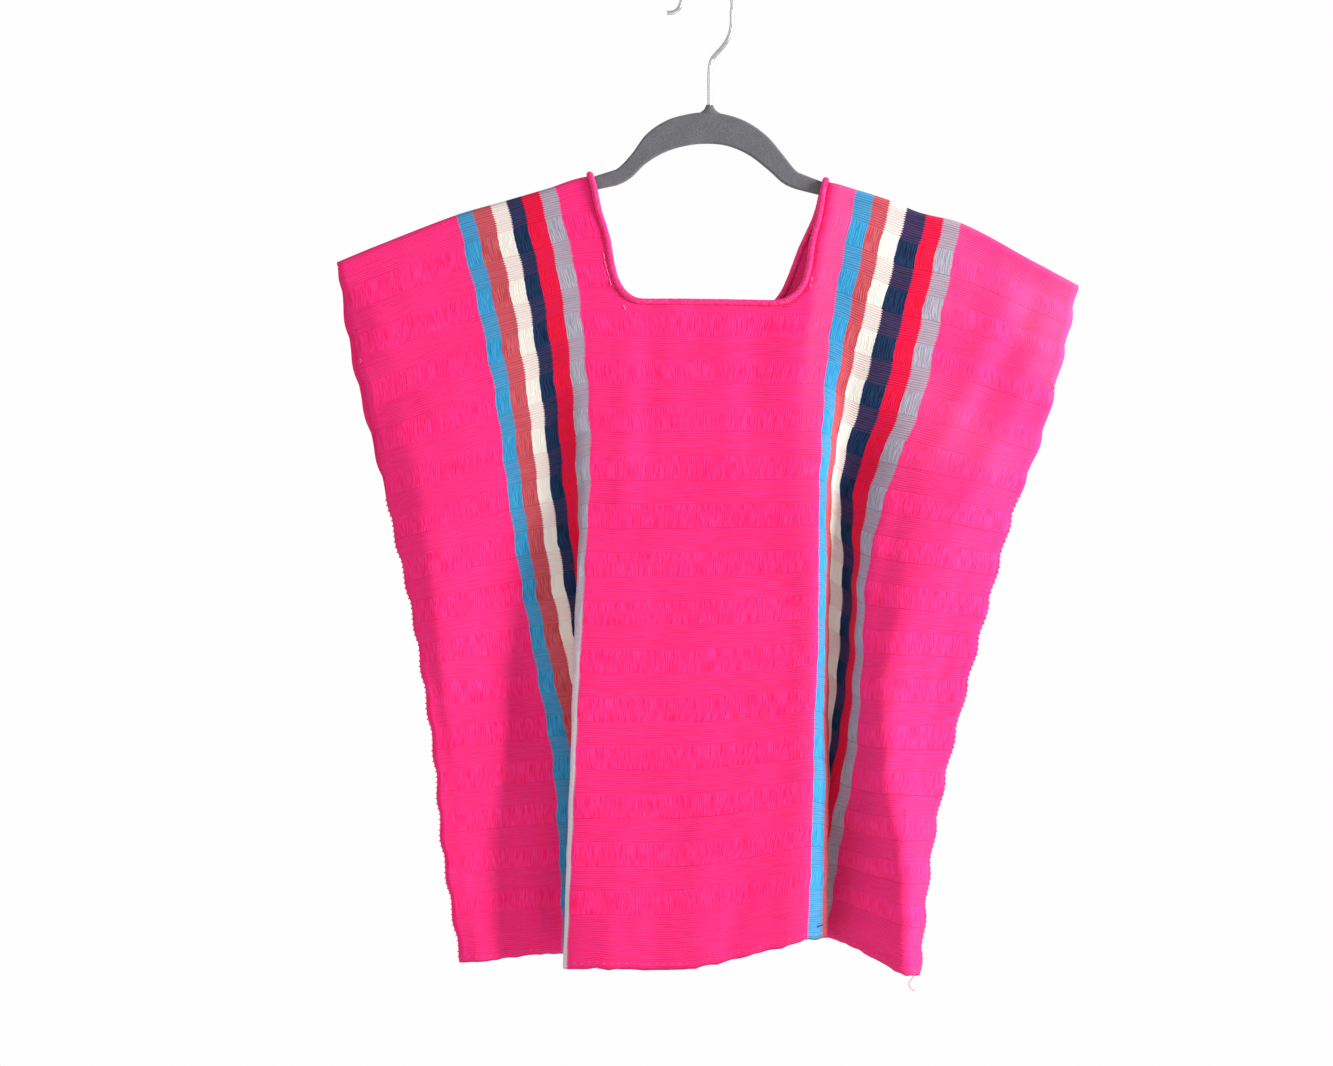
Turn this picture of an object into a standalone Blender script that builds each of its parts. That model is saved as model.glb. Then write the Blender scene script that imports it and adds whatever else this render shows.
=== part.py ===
"""A striped handwoven huipil blouse hanging on a slim hanger.

The blouse is one straight length of cloth. It is folded over the shoulders, a square neck is cut in
the fold and bound with a round cord, and the selvedges are joined below the armholes. A point of the
cloth is named by two flat sizes: "across", from the left selvedge, and "down", from the shoulder fold.
place() hangs such a point in the air, from the tables below. All sizes are millimetres until the
meshes are made. +X is to the viewer's right, -Y faces the viewer and +Z is up. The origin is the
point inside the top of the hook, where the hanger bears on its rod.
"""
import bisect
import math

import bmesh
import bpy

MM = 0.001

# The flat cloth, and how it is sewn
CLOTH_WIDTH = 620.0
HALF_LENGTH = 680.0
WALL = 1.4
SEAM_GAP = 0.3
ARMHOLE_DEPTH = 222.0
ARMHOLE_HALF_GAP = 7.5
NECK_LEFT = 231.0
NECK_RIGHT = 386.0
NECK_DEPTH = 104.0
NECK_CORNER = 24.0
NECK_SIDE_DOWNS = (0, 3, 6, 9, 14, 22, 34, 48, 62, 72)
NECK_CORNER_STEPS = 6
NECK_BOTTOM_STEPS = 9
BINDING_RADIUS = 2.7
BINDING_GAP = 1.1

# Where the named points of the tables lie across the flat cloth
STRIPES_LEFT = 110.0
FOLD_LEFT = 197.0
CENTRE = 308.0
STRIPES_RIGHT = 414.0
FOLD_RIGHT = 446.0
PANEL_RIGHT = 508.0

# The hanger
BAR_THICKNESS = 5.0
BAR_HEIGHT = 11.5
BAR_ROUNDING = 2.2
BAR_CLEARANCE = 0.7
BAR_EDGE_ANGLE = 60.0
BAR_END_STEPS = 5
ARM_STEPS = 6
ARM_LEFT_START = STRIPES_LEFT + 2.0
ARM_RIGHT_END = PANEL_RIGHT - 4.0
BOW_STEPS = 26
COLLAR_SIDES = 20
COLLAR_TOP = -106.7
COLLAR_FOOT_RADIUS = 4.2
COLLAR_TOP_RADIUS = 2.9
WIRE_RADIUS = 1.9
HOOK_RADIUS = 22.2
HOOK_CENTRE_Z = WIRE_RADIUS - HOOK_RADIUS
HOOK_START, HOOK_END, HOOK_STEPS = -14.0, 165.0, 16
STEM_X = 2.2
HOOK_BEND = ((2.2, -79.0), (3.8, -68.5), (8.0, -62.5), (13.0, -57.0), (17.5, -50.5), (20.3, -43.5),
             (21.6, -35.0))
HOOK_TIP = ((-22.6, -19.5), (-25.2, -24.0), (-29.4, -26.6), (-34.6, -27.0))

# The shoulder fold goes over the bar in a half circle of this radius, and hangs free further down
FOLD_SLACK = 0.4
OVER_BAR = BAR_THICKNESS / 2 + BAR_CLEARANCE + WALL / 2 + FOLD_SLACK
QUARTER_TURN = OVER_BAR * math.pi / 2
FREE_OF_BAR = 50.0

# How the cloth hangs: a row for each distance down from the shoulder fold. "crown" is the side panel's
# foremost line, "edge" its border with the stripes, "fold" a pleat's outer edge and "inner" its inner one.
SIDE_COLUMNS = ("down", "seam_x", "seam_y", "seam_z", "crown_across", "crown_x", "crown_y",
                "edge_x", "edge_y", "edge_z", "inner_across", "inner_x", "inner_y", "fold_x", "fold_y", "fold_z")
LEFT_ROWS = (
    (0, -320, 0, -243, 35, -289, -5, -218, -5, -202.6, 153, -178, -5, -138, -5, -179.3),
    (80, -303, 0, -317, 35, -271, -9, -199, -8, -279, 155, -158, -8, -120, -8, -255),
    (160, -285, -1, -396, 35, -253, -12, -183, -10, -362, 158, -143, -9, -110, -12, -335),
    (240, -272, -4, -467, 35, -240, -14, -173, -8, -440, 172, -124, -8, -106, -17, -415),
    (320, -256, -7, -536, 35, -227, -16, -162, 0, -518, 184, -106, -7, -110, -20, -494),
    (400, -244, -10, -605, 35, -220, -17, -149, 5, -594, 172, -102, -6, -114, -23, -574),
    (480, -234, -11, -676, 35, -212, -18, -136, 5, -666, 164, -88, -6, -116, -26, -652),
    (560, -228, -12, -744, 35, -206, -19, -130, 3, -737, 161, -86, -6, -119, -28, -731),
    (680, -212, -13, -845, 35, -190, -21, -126, 8, -841, 154, -83, -6, -123, -30, -847),
)
RIGHT_ROWS = (
    (0, 321, 0, -263, 575, 281, -5, 221, -5, -209.6, 470, 183, -5, 159, -5, -189.8),
    (80, 307, 0, -323, 575, 266, -9, 204, -9, -286, 470, 163, -9, 140, -9, -268),
    (160, 288, 0, -395, 575, 247, -14, 186, -13, -364, 470, 145, -10, 122, -8, -347),
    (240, 263, -2, -463, 572, 218, -19, 156, -13, -442, 470, 123, 5, 109, 0, -422),
    (320, 244, -4, -532, 556, 184, -24, 138, -14, -517, 468, 123, 8, 107, 3, -497),
    (400, 226, -7, -600, 530, 152, -25, 134, -14, -596, 468, 119, 9, 105, 1, -574),
    (480, 207, -9, -677, 544, 153, -33, 129, -8, -671, 466, 108, 9, 105, -2, -650),
    (560, 193, -12, -750, 578, 163, -42, 118, 5, -741, 466, 91, 1, 104, -9, -722),
    (680, 182, -16, -856, 600, 167, -42, 105, 8, -826, 478, 78, -2, 102, -14, -824),
)

# The middle panel, from its centre to its right border with the stripes. "spread" opens the neck's sides.
MIDDLE_COLUMNS = ("down", "centre_y", "centre_z", "right_x", "right_y", "right_z",
                  "spread_left", "spread_right")
MIDDLE_ROWS = (
    (0, -5, -158, 129, -5, -180.2, -7, 10),
    (80, -9, -254, 113, -9, -258, 2, 4),
    (160, -13, -334, 102, -14, -336, 0, 0),
    (240, -18, -414, 97, -19, -414, 0, 0),
    (320, -22, -493, 95, -23, -490, 0, 0),
    (400, -26, -572, 94, -27, -567, 0, 0),
    (480, -30, -651, 91, -30, -642, 0, 0),
    (560, -34, -729, 89, -34, -715, 0, 0),
    (680, -40, -846, 85, -38, -822, 0, 0),
)

NECK_RIGHT_HEIGHT = 0.7

# The back hangs like the front with shallower folds, set back to clear them, and drifts at the armholes
BACK_FOLDS = 0.72
BACK_SET = 18.0
BACK_CROWN_SET = 0.35
BACK_SET_DEPTH = 320.0
BACK_PLEAT_SHIFT = 7.0
BACK_ARMHOLE_SHIFT = -7.0
BACK_HEM_RISE = 5.0
# Round the neck the back leans aside and drops, most at the neck's lower right corner
BACK_NECK_LEAN = -17.0
BACK_NECK_DROP = 0.45
LEAN_START, LEAN_FULL, LEAN_END = 10.0, 95.0, 280.0

# Beside a pleat's inner edge the cloth swells by this share of the reach, so that the edge turns round
PLEAT_SWELL = 0.45
PLEAT_REACH = 18.0
FULL_PLEAT = 12.0

# The lines of the grid that each half of the cloth is modelled on
ACROSS_LINES = (0, 14, 28, 44, 62, 84, 104, 118, 132, 145, 156, 167, 178, 188, 197, 206, 217, NECK_LEFT,
                238, 250, 278, CENTRE, 338, 367, 379, NECK_RIGHT, 400, 412, 424, 435, 446, 456, 464, 470, 476,
                482, 490, 503, 518, 536, 556, 578, 600, CLOTH_WIDTH)
DOWN_LINES = (0, 0.6, QUARTER_TURN * 0.4, QUARTER_TURN * 0.7, QUARTER_TURN, 20, 40, 62, 84, 97, NECK_DEPTH,
              130, 160, 192, ARMHOLE_DEPTH, 252, 284, 318, 352, 386, 420, 456, 492, 530, 570, 612, 652,
              HALF_LENGTH)

# The middle of the hanger's bar, which bows up to the hook's collar: rows of x, its top and its bottom
BOW_ROWS = (
    (-79, -162.5, -176.5), (-66, -150, -170), (-53, -132.5, -157.5), (-36, -120.5, -147.5),
    (-18, -114.8, -142), (0, -112.8, -140.2), (18, -115.2, -142.2), (36, -122, -150),
    (53, -134.5, -163), (66, -150, -174.5), (79, -165, -180),
)


def smooth(keys, values, at):
    """A smooth curve through the values at the keys, cubic, with slopes taken from the neighbours."""
    last = len(keys) - 1
    at = min(max(at, keys[0]), keys[last])
    i = min(max(bisect.bisect_right(keys, at) - 1, 0), last - 1)
    before, after = max(i - 1, 0), min(i + 2, last)
    span = keys[i + 1] - keys[i]
    slope_start = (values[i + 1] - values[before]) / (keys[i + 1] - keys[before])
    slope_end = (values[after] - values[i]) / (keys[after] - keys[i])
    u = (at - keys[i]) / span
    ease = u * u * (3 - 2 * u)
    bend = u * (1 - u) * span * ((1 - u) * slope_start - u * slope_end)
    return values[i] * (1 - ease) + values[i + 1] * ease + bend


def ease_in(value):
    """Goes gently from 0 to 1 as the value goes from 0 to 1."""
    value = min(max(value, 0.0), 1.0)
    return value * value * (3 - 2 * value)


def between(start, end, share):
    return start + (end - start) * share


def row_at(rows, columns, down):
    """A table's columns by name, at one distance down."""
    downs = [row[0] for row in rows]
    return {name: smooth(downs, [row[i] for row in rows], down) for i, name in enumerate(columns)}


def armhole_half_gap(down):
    """Half the opening between the front and back selvedges, which meet where the seam starts."""
    meeting = (WALL + SEAM_GAP) / 2
    if down >= ARMHOLE_DEPTH:
        return meeting
    return meeting + ARMHOLE_HALF_GAP * math.sin(math.pi * down / ARMHOLE_DEPTH)


def hanging_section(side, down):
    """The cloth's named points at one distance down, as rows of across, x, y and z."""
    left = row_at(LEFT_ROWS, SIDE_COLUMNS, down)
    right = row_at(RIGHT_ROWS, SIDE_COLUMNS, down)
    middle = row_at(MIDDLE_ROWS, MIDDLE_COLUMNS, down)
    across_middle = (middle["right_x"] - left["fold_x"]) / (STRIPES_RIGHT - FOLD_LEFT)
    neck_left_x = left["fold_x"] + across_middle * (NECK_LEFT - FOLD_LEFT) + middle["spread_left"]
    neck_right_x = left["fold_x"] + across_middle * (NECK_RIGHT - FOLD_LEFT) + middle["spread_right"]
    centre_x = left["fold_x"] + across_middle * (CENTRE - FOLD_LEFT)
    points = [
        (left["crown_across"], left["crown_x"], left["crown_y"],
         between(left["seam_z"], left["edge_z"], left["crown_across"] / STRIPES_LEFT)),
        (STRIPES_LEFT, left["edge_x"], left["edge_y"], left["edge_z"]),
        (left["inner_across"], left["inner_x"], left["inner_y"], (left["edge_z"] + left["fold_z"]) / 2),
        (FOLD_LEFT, left["fold_x"], left["fold_y"], left["fold_z"]),
        (NECK_LEFT, neck_left_x, (left["fold_y"] + 2 * middle["centre_y"]) / 3,
         (left["fold_z"] + middle["centre_z"]) / 2),
        (CENTRE, centre_x, middle["centre_y"], middle["centre_z"]),
        (NECK_RIGHT, neck_right_x, (middle["right_y"] + middle["centre_y"]) / 2,
         between(middle["centre_z"], middle["right_z"], NECK_RIGHT_HEIGHT)),
        (STRIPES_RIGHT, middle["right_x"], middle["right_y"], middle["right_z"]),
        (FOLD_RIGHT, right["fold_x"], right["fold_y"], right["fold_z"]),
        (right["inner_across"], right["inner_x"], right["inner_y"], (right["edge_z"] + right["fold_z"]) / 2),
        (PANEL_RIGHT, right["edge_x"], right["edge_y"], right["edge_z"]),
        (right["crown_across"], right["crown_x"], right["crown_y"],
         between(right["seam_z"], right["edge_z"],
                 (CLOTH_WIDTH - right["crown_across"]) / (CLOTH_WIDTH - PANEL_RIGHT))),
    ]
    gap = -armhole_half_gap(down)
    drift = 0.0
    if side == "back":
        seams = {left["crown_across"]: left["seam_y"], right["crown_across"]: right["seam_y"]}
        points = [to_the_back(point, down, seams) for point in points]
        gap = -gap
        drift = BACK_ARMHOLE_SHIFT * math.sin(math.pi * min(down / ARMHOLE_DEPTH, 1.0))
    left_selvedge = (0.0, left["seam_x"] + drift, left["seam_y"] + gap, left["seam_z"])
    right_selvedge = (CLOTH_WIDTH, right["seam_x"] + drift, right["seam_y"] + gap, right["seam_z"])
    return [left_selvedge] + points + [right_selvedge]


def to_the_back(point, down, seams):
    """Turns one named point of the front into the back's."""
    across, x, y, z = point
    set_back = BACK_SET * ease_in(down / BACK_SET_DEPTH)
    lean = 0.0
    if across in seams:
        lean = BACK_FOLDS * seams[across]
        set_back *= BACK_CROWN_SET
    way = 1 if across < CENTRE else -1
    shift = 0.0 if across in seams else way * BACK_PLEAT_SHIFT * down / HALF_LENGTH
    rise = BACK_HEM_RISE * down / HALF_LENGTH if STRIPES_LEFT < across < PANEL_RIGHT else 0.0
    aside = back_neck_lean(across, down)
    return across, x + shift + aside, -BACK_FOLDS * y + set_back + lean, z + rise + BACK_NECK_DROP * aside


def back_neck_lean(across, down):
    """How far the back leans aside round its neck."""
    over = ease_in((across - FOLD_LEFT) / (NECK_RIGHT - FOLD_LEFT))
    over *= 1 - ease_in((across - NECK_RIGHT) / (PANEL_RIGHT - NECK_RIGHT))
    along = ease_in((down - LEAN_START) / (LEAN_FULL - LEAN_START))
    along *= 1 - ease_in((down - LEAN_FULL) / (LEAN_END - LEAN_FULL))
    return BACK_NECK_LEAN * over * along


def pleat_swell(across, down):
    """How far the cloth swells towards its own outside beside the inner edge of either pleat."""
    left = row_at(LEFT_ROWS, SIDE_COLUMNS, down)
    right = row_at(RIGHT_ROWS, SIDE_COLUMNS, down)
    swell = 0.0
    for pleat, overlap in ((left, left["inner_x"] - max(left["fold_x"], left["edge_x"])),
                           (right, min(right["fold_x"], right["edge_x"]) - right["inner_x"])):
        aside = (across - pleat["inner_across"]) / PLEAT_REACH
        if abs(aside) < 1:
            way = 1 if pleat is left else -1
            size = way * ease_in(overlap / FULL_PLEAT) * PLEAT_SWELL * PLEAT_REACH
            swell += size * aside * (1 - aside**2)**2
    return swell


def place(side, across, down):
    """Hangs a point of the flat cloth: its x, y and z in the air."""
    points = hanging_section(side, down)
    keys = [point[0] for point in points]
    x, y, z = (smooth(keys, [point[i] for point in points], across) for i in (1, 2, 3))
    front = -1 if side == "front" else 1
    y += front * pleat_swell(across, down)
    if down <= QUARTER_TURN:
        turn = down / OVER_BAR
        start = SEAM_GAP / 2
        y = front * (start + (OVER_BAR - start) * math.sin(turn))
        return x, y, ridge_z(across) - OVER_BAR * (1 - math.cos(turn))
    free = ease_in((down - QUARTER_TURN) / FREE_OF_BAR)
    saved = (QUARTER_TURN - OVER_BAR) * (1 - free)
    return x, front * OVER_BAR * (1 - free) + y * free, z + saved


def ridge_z(across):
    """The height of the shoulder fold, at the middle of the cloth's wall."""
    points = hanging_section("front", 0.0)
    return smooth([point[0] for point in points], [point[3] for point in points], across)


def bar_top_line():
    """The hanger's top edge from end to end, as lists of x and z: its arms lie just under the fold."""
    under = WALL / 2 + BAR_CLEARANCE
    arms = []
    for start, end in ((ARM_LEFT_START, NECK_LEFT), (NECK_RIGHT, ARM_RIGHT_END)):
        acrosses = [between(start, end, step / ARM_STEPS) for step in range(ARM_STEPS + 1)]
        arms.append([(place("front", across, 0.0)[0], ridge_z(across) - under) for across in acrosses])
    line = arms[0] + [row[:2] for row in BOW_ROWS] + arms[1]
    return [point[0] for point in line], [point[1] for point in line]


BAR_TOP_LINE = bar_top_line()


def bar_top_z(x):
    return smooth(*BAR_TOP_LINE, x)


def neck_distance(across, down):
    """How far a flat point lies outside the neck's cut edge, negative inside the hole."""
    half_width = (NECK_RIGHT - NECK_LEFT) / 2 - NECK_CORNER
    aside = abs(across - (NECK_LEFT + NECK_RIGHT) / 2) - half_width
    below = down - (NECK_DEPTH - NECK_CORNER)
    outside = math.hypot(max(aside, 0.0), max(below, 0.0))
    return outside + min(max(aside, below), 0.0) - NECK_CORNER


def on_neck_corner(across, down):
    """Moves a flat point at the neck's corner onto its round edge."""
    middle = (NECK_LEFT + NECK_RIGHT) / 2
    way = 1 if across > middle else -1
    corner_across = middle + way * ((NECK_RIGHT - NECK_LEFT) / 2 - NECK_CORNER)
    corner_down = NECK_DEPTH - NECK_CORNER
    if way * (across - corner_across) <= 0 or down <= corner_down:
        return across, down
    reach = NECK_CORNER / math.hypot(across - corner_across, down - corner_down)
    return corner_across + (across - corner_across) * reach, corner_down + (down - corner_down) * reach


def clear_scene():
    for obj in list(bpy.data.objects):
        bpy.data.objects.remove(obj, do_unlink=True)


def material(name, colour, roughness, metallic=0.0):
    finish = bpy.data.materials.new(name)
    finish.use_nodes = True
    shader = finish.node_tree.nodes["Principled BSDF"]
    shader.inputs["Base Color"].default_value = (*colour, 1.0)
    shader.inputs["Roughness"].default_value = roughness
    shader.inputs["Metallic"].default_value = metallic
    return finish


def add_object(name, data, finish, collection):
    obj = bpy.data.objects.new(name, data)
    data.materials.append(finish)
    collection.objects.link(obj)
    return obj


def make_cloth(side, finish, collection):
    """One half of the length of cloth, from the shoulder fold to the hem, with its half of the neck."""
    bm = bmesh.new()
    columns, rows = len(ACROSS_LINES) - 1, len(DOWN_LINES) - 1
    bmesh.ops.create_grid(bm, x_segments=columns, y_segments=rows, size=1.0)
    flat = {}
    for vert in bm.verts:
        across = ACROSS_LINES[round((vert.co.x + 1) / 2 * columns)]
        down = DOWN_LINES[round((vert.co.y + 1) / 2 * rows)]
        flat[vert] = (across, down)
    cut = []
    for face in bm.faces:
        middle_across = sum(flat[vert][0] for vert in face.verts) / len(face.verts)
        middle_down = sum(flat[vert][1] for vert in face.verts) / len(face.verts)
        if neck_distance(middle_across, middle_down) < 0:
            cut.append(face)
    bmesh.ops.delete(bm, geom=cut, context="FACES")
    for vert in bm.verts:
        across, down = flat[vert]
        if vert.is_boundary and neck_distance(across, down) > -NECK_CORNER and down <= NECK_DEPTH:
            if NECK_LEFT <= across <= NECK_RIGHT:
                across, down = on_neck_corner(across, down)
        vert.co = [size * MM for size in place(side, across, down)]
    if side == "back":
        bmesh.ops.reverse_faces(bm, faces=bm.faces)
    mesh = bpy.data.meshes.new("cloth_" + side)
    bm.to_mesh(mesh)
    bm.free()
    mesh.shade_smooth()
    cloth = add_object("cloth_" + side, mesh, finish, collection)
    wall = cloth.modifiers.new("wall", "SOLIDIFY")
    wall.thickness = WALL * MM
    wall.offset = 0.0
    wall.use_even_offset = False
    return cloth


def neck_path(side):
    """The binding's centre line round one half of the neck, from the right shoulder to the left."""
    inset = BINDING_RADIUS + BINDING_GAP
    left, right = NECK_LEFT + inset, NECK_RIGHT - inset
    corner = NECK_CORNER - inset
    bottom = NECK_DEPTH - inset
    half = [(right, down) for down in NECK_SIDE_DOWNS]
    for step in range(NECK_CORNER_STEPS + 1):
        angle = math.pi / 2 * step / NECK_CORNER_STEPS
        half.append((right - corner + corner * math.cos(angle), bottom - corner + corner * math.sin(angle)))
    for step in range(1, (NECK_BOTTOM_STEPS + 1) // 2):
        half.append((between(right - corner, left + corner, step / NECK_BOTTOM_STEPS), bottom))
    other_half = [(left + right - across, down) for across, down in reversed(half)]
    return [over_bar_and_down(side, across, down) for across, down in half + other_half]


def over_bar_and_down(side, across, down):
    """A point of the binding: it rides over the bar, then follows the cut edge of the cloth."""
    radius = BAR_THICKNESS / 2 + BINDING_RADIUS + BAR_CLEARANCE
    front = -1 if side == "front" else 1
    x, y, z = place(side, across, down)
    quarter = radius * math.pi / 2
    turn = min(down, quarter) / radius
    arc_y = front * radius * math.sin(turn)
    arc_z = bar_top_z(x) - BAR_THICKNESS / 2 + radius * math.cos(turn) - max(down - quarter, 0.0)
    free = ease_in((down - quarter) / FREE_OF_BAR)
    return x, arc_y * (1 - free) + y * free, arc_z * (1 - free) + z * free


def make_tube(name, points, radius, closed, finish, collection):
    """A round tube along a line of points."""
    curve = bpy.data.curves.new(name, "CURVE")
    curve.dimensions = "3D"
    curve.bevel_depth = radius * MM
    curve.bevel_resolution = 2
    curve.use_fill_caps = not closed
    spline = curve.splines.new("POLY")
    spline.points.add(len(points) - 1)
    for spline_point, point in zip(spline.points, points):
        spline_point.co = [size * MM for size in point] + [1.0]
    spline.use_cyclic_u = closed
    return add_object(name, curve, finish, collection)


def bar_edges():
    """The bar's top and bottom edges from the left end to the right, as lists of x and z."""
    xs = BAR_TOP_LINE[0]
    first_bow, last_bow = BOW_ROWS[0][0], BOW_ROWS[-1][0]
    arms = [x for x in xs if not first_bow <= x <= last_bow]
    bow = [between(first_bow, last_bow, step / BOW_STEPS) for step in range(BOW_STEPS + 1)]
    bow_heights = {x: top - bottom for x, top, bottom in BOW_ROWS}
    heights = [bow_heights.get(x, BAR_HEIGHT) for x in xs]
    stations = sorted(arms + bow)
    top = [(x, bar_top_z(x)) for x in stations]
    bottom = [(x, bar_top_z(x) - smooth(xs, heights, x)) for x in stations]
    return top, bottom


def round_end(top, bottom, way):
    """The points round one end of the bar, from its top edge to its bottom edge."""
    middle_z, radius = (top[1] + bottom[1]) / 2, (top[1] - bottom[1]) / 2
    turns = [math.pi * (0.5 - step / BAR_END_STEPS) for step in range(1, BAR_END_STEPS)]
    return [(top[0] + way * radius * math.cos(turn), middle_z + radius * math.sin(turn)) for turn in turns]


def make_hanger_bar(finish, collection):
    """The flat bar: two arms under the shoulder folds, and a bow that rises to the hook."""
    top, bottom = bar_edges()
    right_end = round_end(top[-1], bottom[-1], 1)
    left_end = round_end(top[0], bottom[0], -1)
    outline = top + right_end + bottom[::-1] + left_end[::-1]
    bm = bmesh.new()
    corners = [bm.verts.new((x * MM, -BAR_THICKNESS / 2 * MM, z * MM)) for x, z in outline]
    bm.faces.new(corners)
    bmesh.ops.recalc_face_normals(bm, faces=bm.faces)
    mesh = bpy.data.meshes.new("hanger_bar")
    bm.to_mesh(mesh)
    bm.free()
    bar = add_object("hanger_bar", mesh, finish, collection)
    thick = bar.modifiers.new("thickness", "SOLIDIFY")
    thick.thickness = BAR_THICKNESS * MM
    thick.offset = 1.0 if mesh.polygons[0].normal.y > 0 else -1.0
    rounding = bar.modifiers.new("rounding", "BEVEL")
    rounding.width = BAR_ROUNDING * MM
    rounding.segments = 3
    rounding.limit_method = "ANGLE"
    rounding.angle_limit = math.radians(BAR_EDGE_ANGLE)
    return bar


def make_hook_collar(finish, collection):
    """The moulded collar on the bar's top that the hook's wire turns in."""
    foot = BOW_ROWS[len(BOW_ROWS) // 2][1] + SEAM_GAP
    bm = bmesh.new()
    bmesh.ops.create_cone(bm, cap_ends=True, segments=COLLAR_SIDES, radius1=COLLAR_FOOT_RADIUS * MM,
                          radius2=COLLAR_TOP_RADIUS * MM, depth=(COLLAR_TOP - foot) * MM)
    mesh = bpy.data.meshes.new("hook_collar")
    bm.to_mesh(mesh)
    bm.free()
    collar = add_object("hook_collar", mesh, finish, collection)
    collar.location = (STEM_X * MM, 0.0, (COLLAR_TOP + foot) / 2 * MM)
    return collar


def hook_path():
    """The wire's centre line: up from the collar, out in a bend, round the top and down to its tip."""
    points = [(STEM_X, 0.0, COLLAR_TOP + SEAM_GAP)]
    points += [(x, 0.0, z) for x, z in HOOK_BEND]
    for step in range(HOOK_STEPS + 1):
        angle = math.radians(between(HOOK_START, HOOK_END, step / HOOK_STEPS))
        points.append((HOOK_RADIUS * math.cos(angle), 0.0, HOOK_CENTRE_Z + HOOK_RADIUS * math.sin(angle)))
    points += [(x, 0.0, z) for x, z in HOOK_TIP]
    return points


def build():
    clear_scene()
    blouse = bpy.data.collections.new("huipil_blouse_on_hanger")
    bpy.context.scene.collection.children.link(blouse)
    pink = material("pink_cloth", (0.85, 0.02, 0.2), 0.8)
    pink_cord = material("pink_binding", (0.8, 0.02, 0.18), 0.85)
    velvet = material("grey_velvet", (0.12, 0.115, 0.125), 0.95)
    metal = material("bright_wire", (0.75, 0.75, 0.76), 0.25, 1.0)
    for side in ("front", "back"):
        make_cloth(side, pink, blouse)
    neck = neck_path("front") + neck_path("back")[::-1][1:-1]
    make_tube("neck_binding", neck, BINDING_RADIUS, True, pink_cord, blouse)
    make_hanger_bar(velvet, blouse)
    make_hook_collar(velvet, blouse)
    make_tube("hanger_hook", hook_path(), WIRE_RADIUS, False, metal, blouse)


build()
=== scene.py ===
# %% [markdown]
# # A handwoven huipil on its hanger
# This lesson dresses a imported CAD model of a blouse. The real blouse is one straight length of
# handwoven cotton, folded over the shoulders, with a square neck cut in the fold and the selvedges
# sewn together below the armholes. Each step says what a piece is on the real object, how it could be
# made, and why this way was chosen.

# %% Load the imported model
import bisect
import functools
import math

import bmesh
import bpy
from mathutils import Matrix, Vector, noise


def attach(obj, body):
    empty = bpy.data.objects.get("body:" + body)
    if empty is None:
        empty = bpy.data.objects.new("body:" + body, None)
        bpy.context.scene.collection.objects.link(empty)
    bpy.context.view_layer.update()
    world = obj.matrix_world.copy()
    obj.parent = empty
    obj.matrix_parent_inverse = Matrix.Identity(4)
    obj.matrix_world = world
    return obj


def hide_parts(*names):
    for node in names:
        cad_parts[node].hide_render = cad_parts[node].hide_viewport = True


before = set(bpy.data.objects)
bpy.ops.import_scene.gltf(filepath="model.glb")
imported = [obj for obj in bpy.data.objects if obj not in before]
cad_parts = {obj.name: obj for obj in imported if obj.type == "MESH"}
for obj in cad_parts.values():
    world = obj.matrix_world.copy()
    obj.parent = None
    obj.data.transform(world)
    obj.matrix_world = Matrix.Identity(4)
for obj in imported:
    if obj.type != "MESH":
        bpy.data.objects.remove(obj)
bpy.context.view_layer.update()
MM = 0.001
print("CAD nodes:", sorted(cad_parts))

# %% [markdown]
# ## Camera
# The blouse is seen straight on, from about 2.2 m, with no tilt. A lens could be guessed, but it is
# better worked out: the frame is 1152 mm wide at the hanger, and the distance gives the lens.

# %% Camera
SENSOR_WIDTH = 36.0
VIEW_DISTANCE = 2.2
VIEW_WIDTH = 1.152
VIEW_CENTRE = (-0.035, -0.4765)

camera_data = bpy.data.cameras.new("photo_camera")
camera_data.sensor_width = SENSOR_WIDTH
camera_data.lens = SENSOR_WIDTH * VIEW_DISTANCE / VIEW_WIDTH
camera = bpy.data.objects.new("photo_camera", camera_data)
camera.location = (VIEW_CENTRE[0], -VIEW_DISTANCE, VIEW_CENTRE[1])
camera.rotation_euler = (math.radians(90), 0, 0)
bpy.context.scene.collection.objects.link(camera)
bpy.context.scene.camera = camera
print("lens:", round(camera_data.lens, 1), "mm")

# %% [markdown]
# ## Light and floor
# Daylight fills the room from all sides and comes a little more strongly from the right, so the folds
# are soft. A bright world gives the fill, an area light far to the right gives the direction, and a soft
# one keeps the left edge from going flat. The floor is small, so that it stays below the main view.

# %% Light and floor
FILL_STRENGTH = 0.56
BACKDROP_STRENGTH = 1.0
FLOOR_HEIGHT = -1.3
FLOOR_HALF_WIDTH = 1.5


def add_area_light(name, place, aim, size, power):
    """A soft square light that faces a point."""
    data = bpy.data.lights.new(name, "AREA")
    data.size = size
    data.energy = power
    light = bpy.data.objects.new(name, data)
    light.location = place
    light.rotation_euler = (Vector(aim) - Vector(place)).to_track_quat("-Z", "Y").to_euler()
    bpy.context.scene.collection.objects.link(light)
    return light


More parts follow.
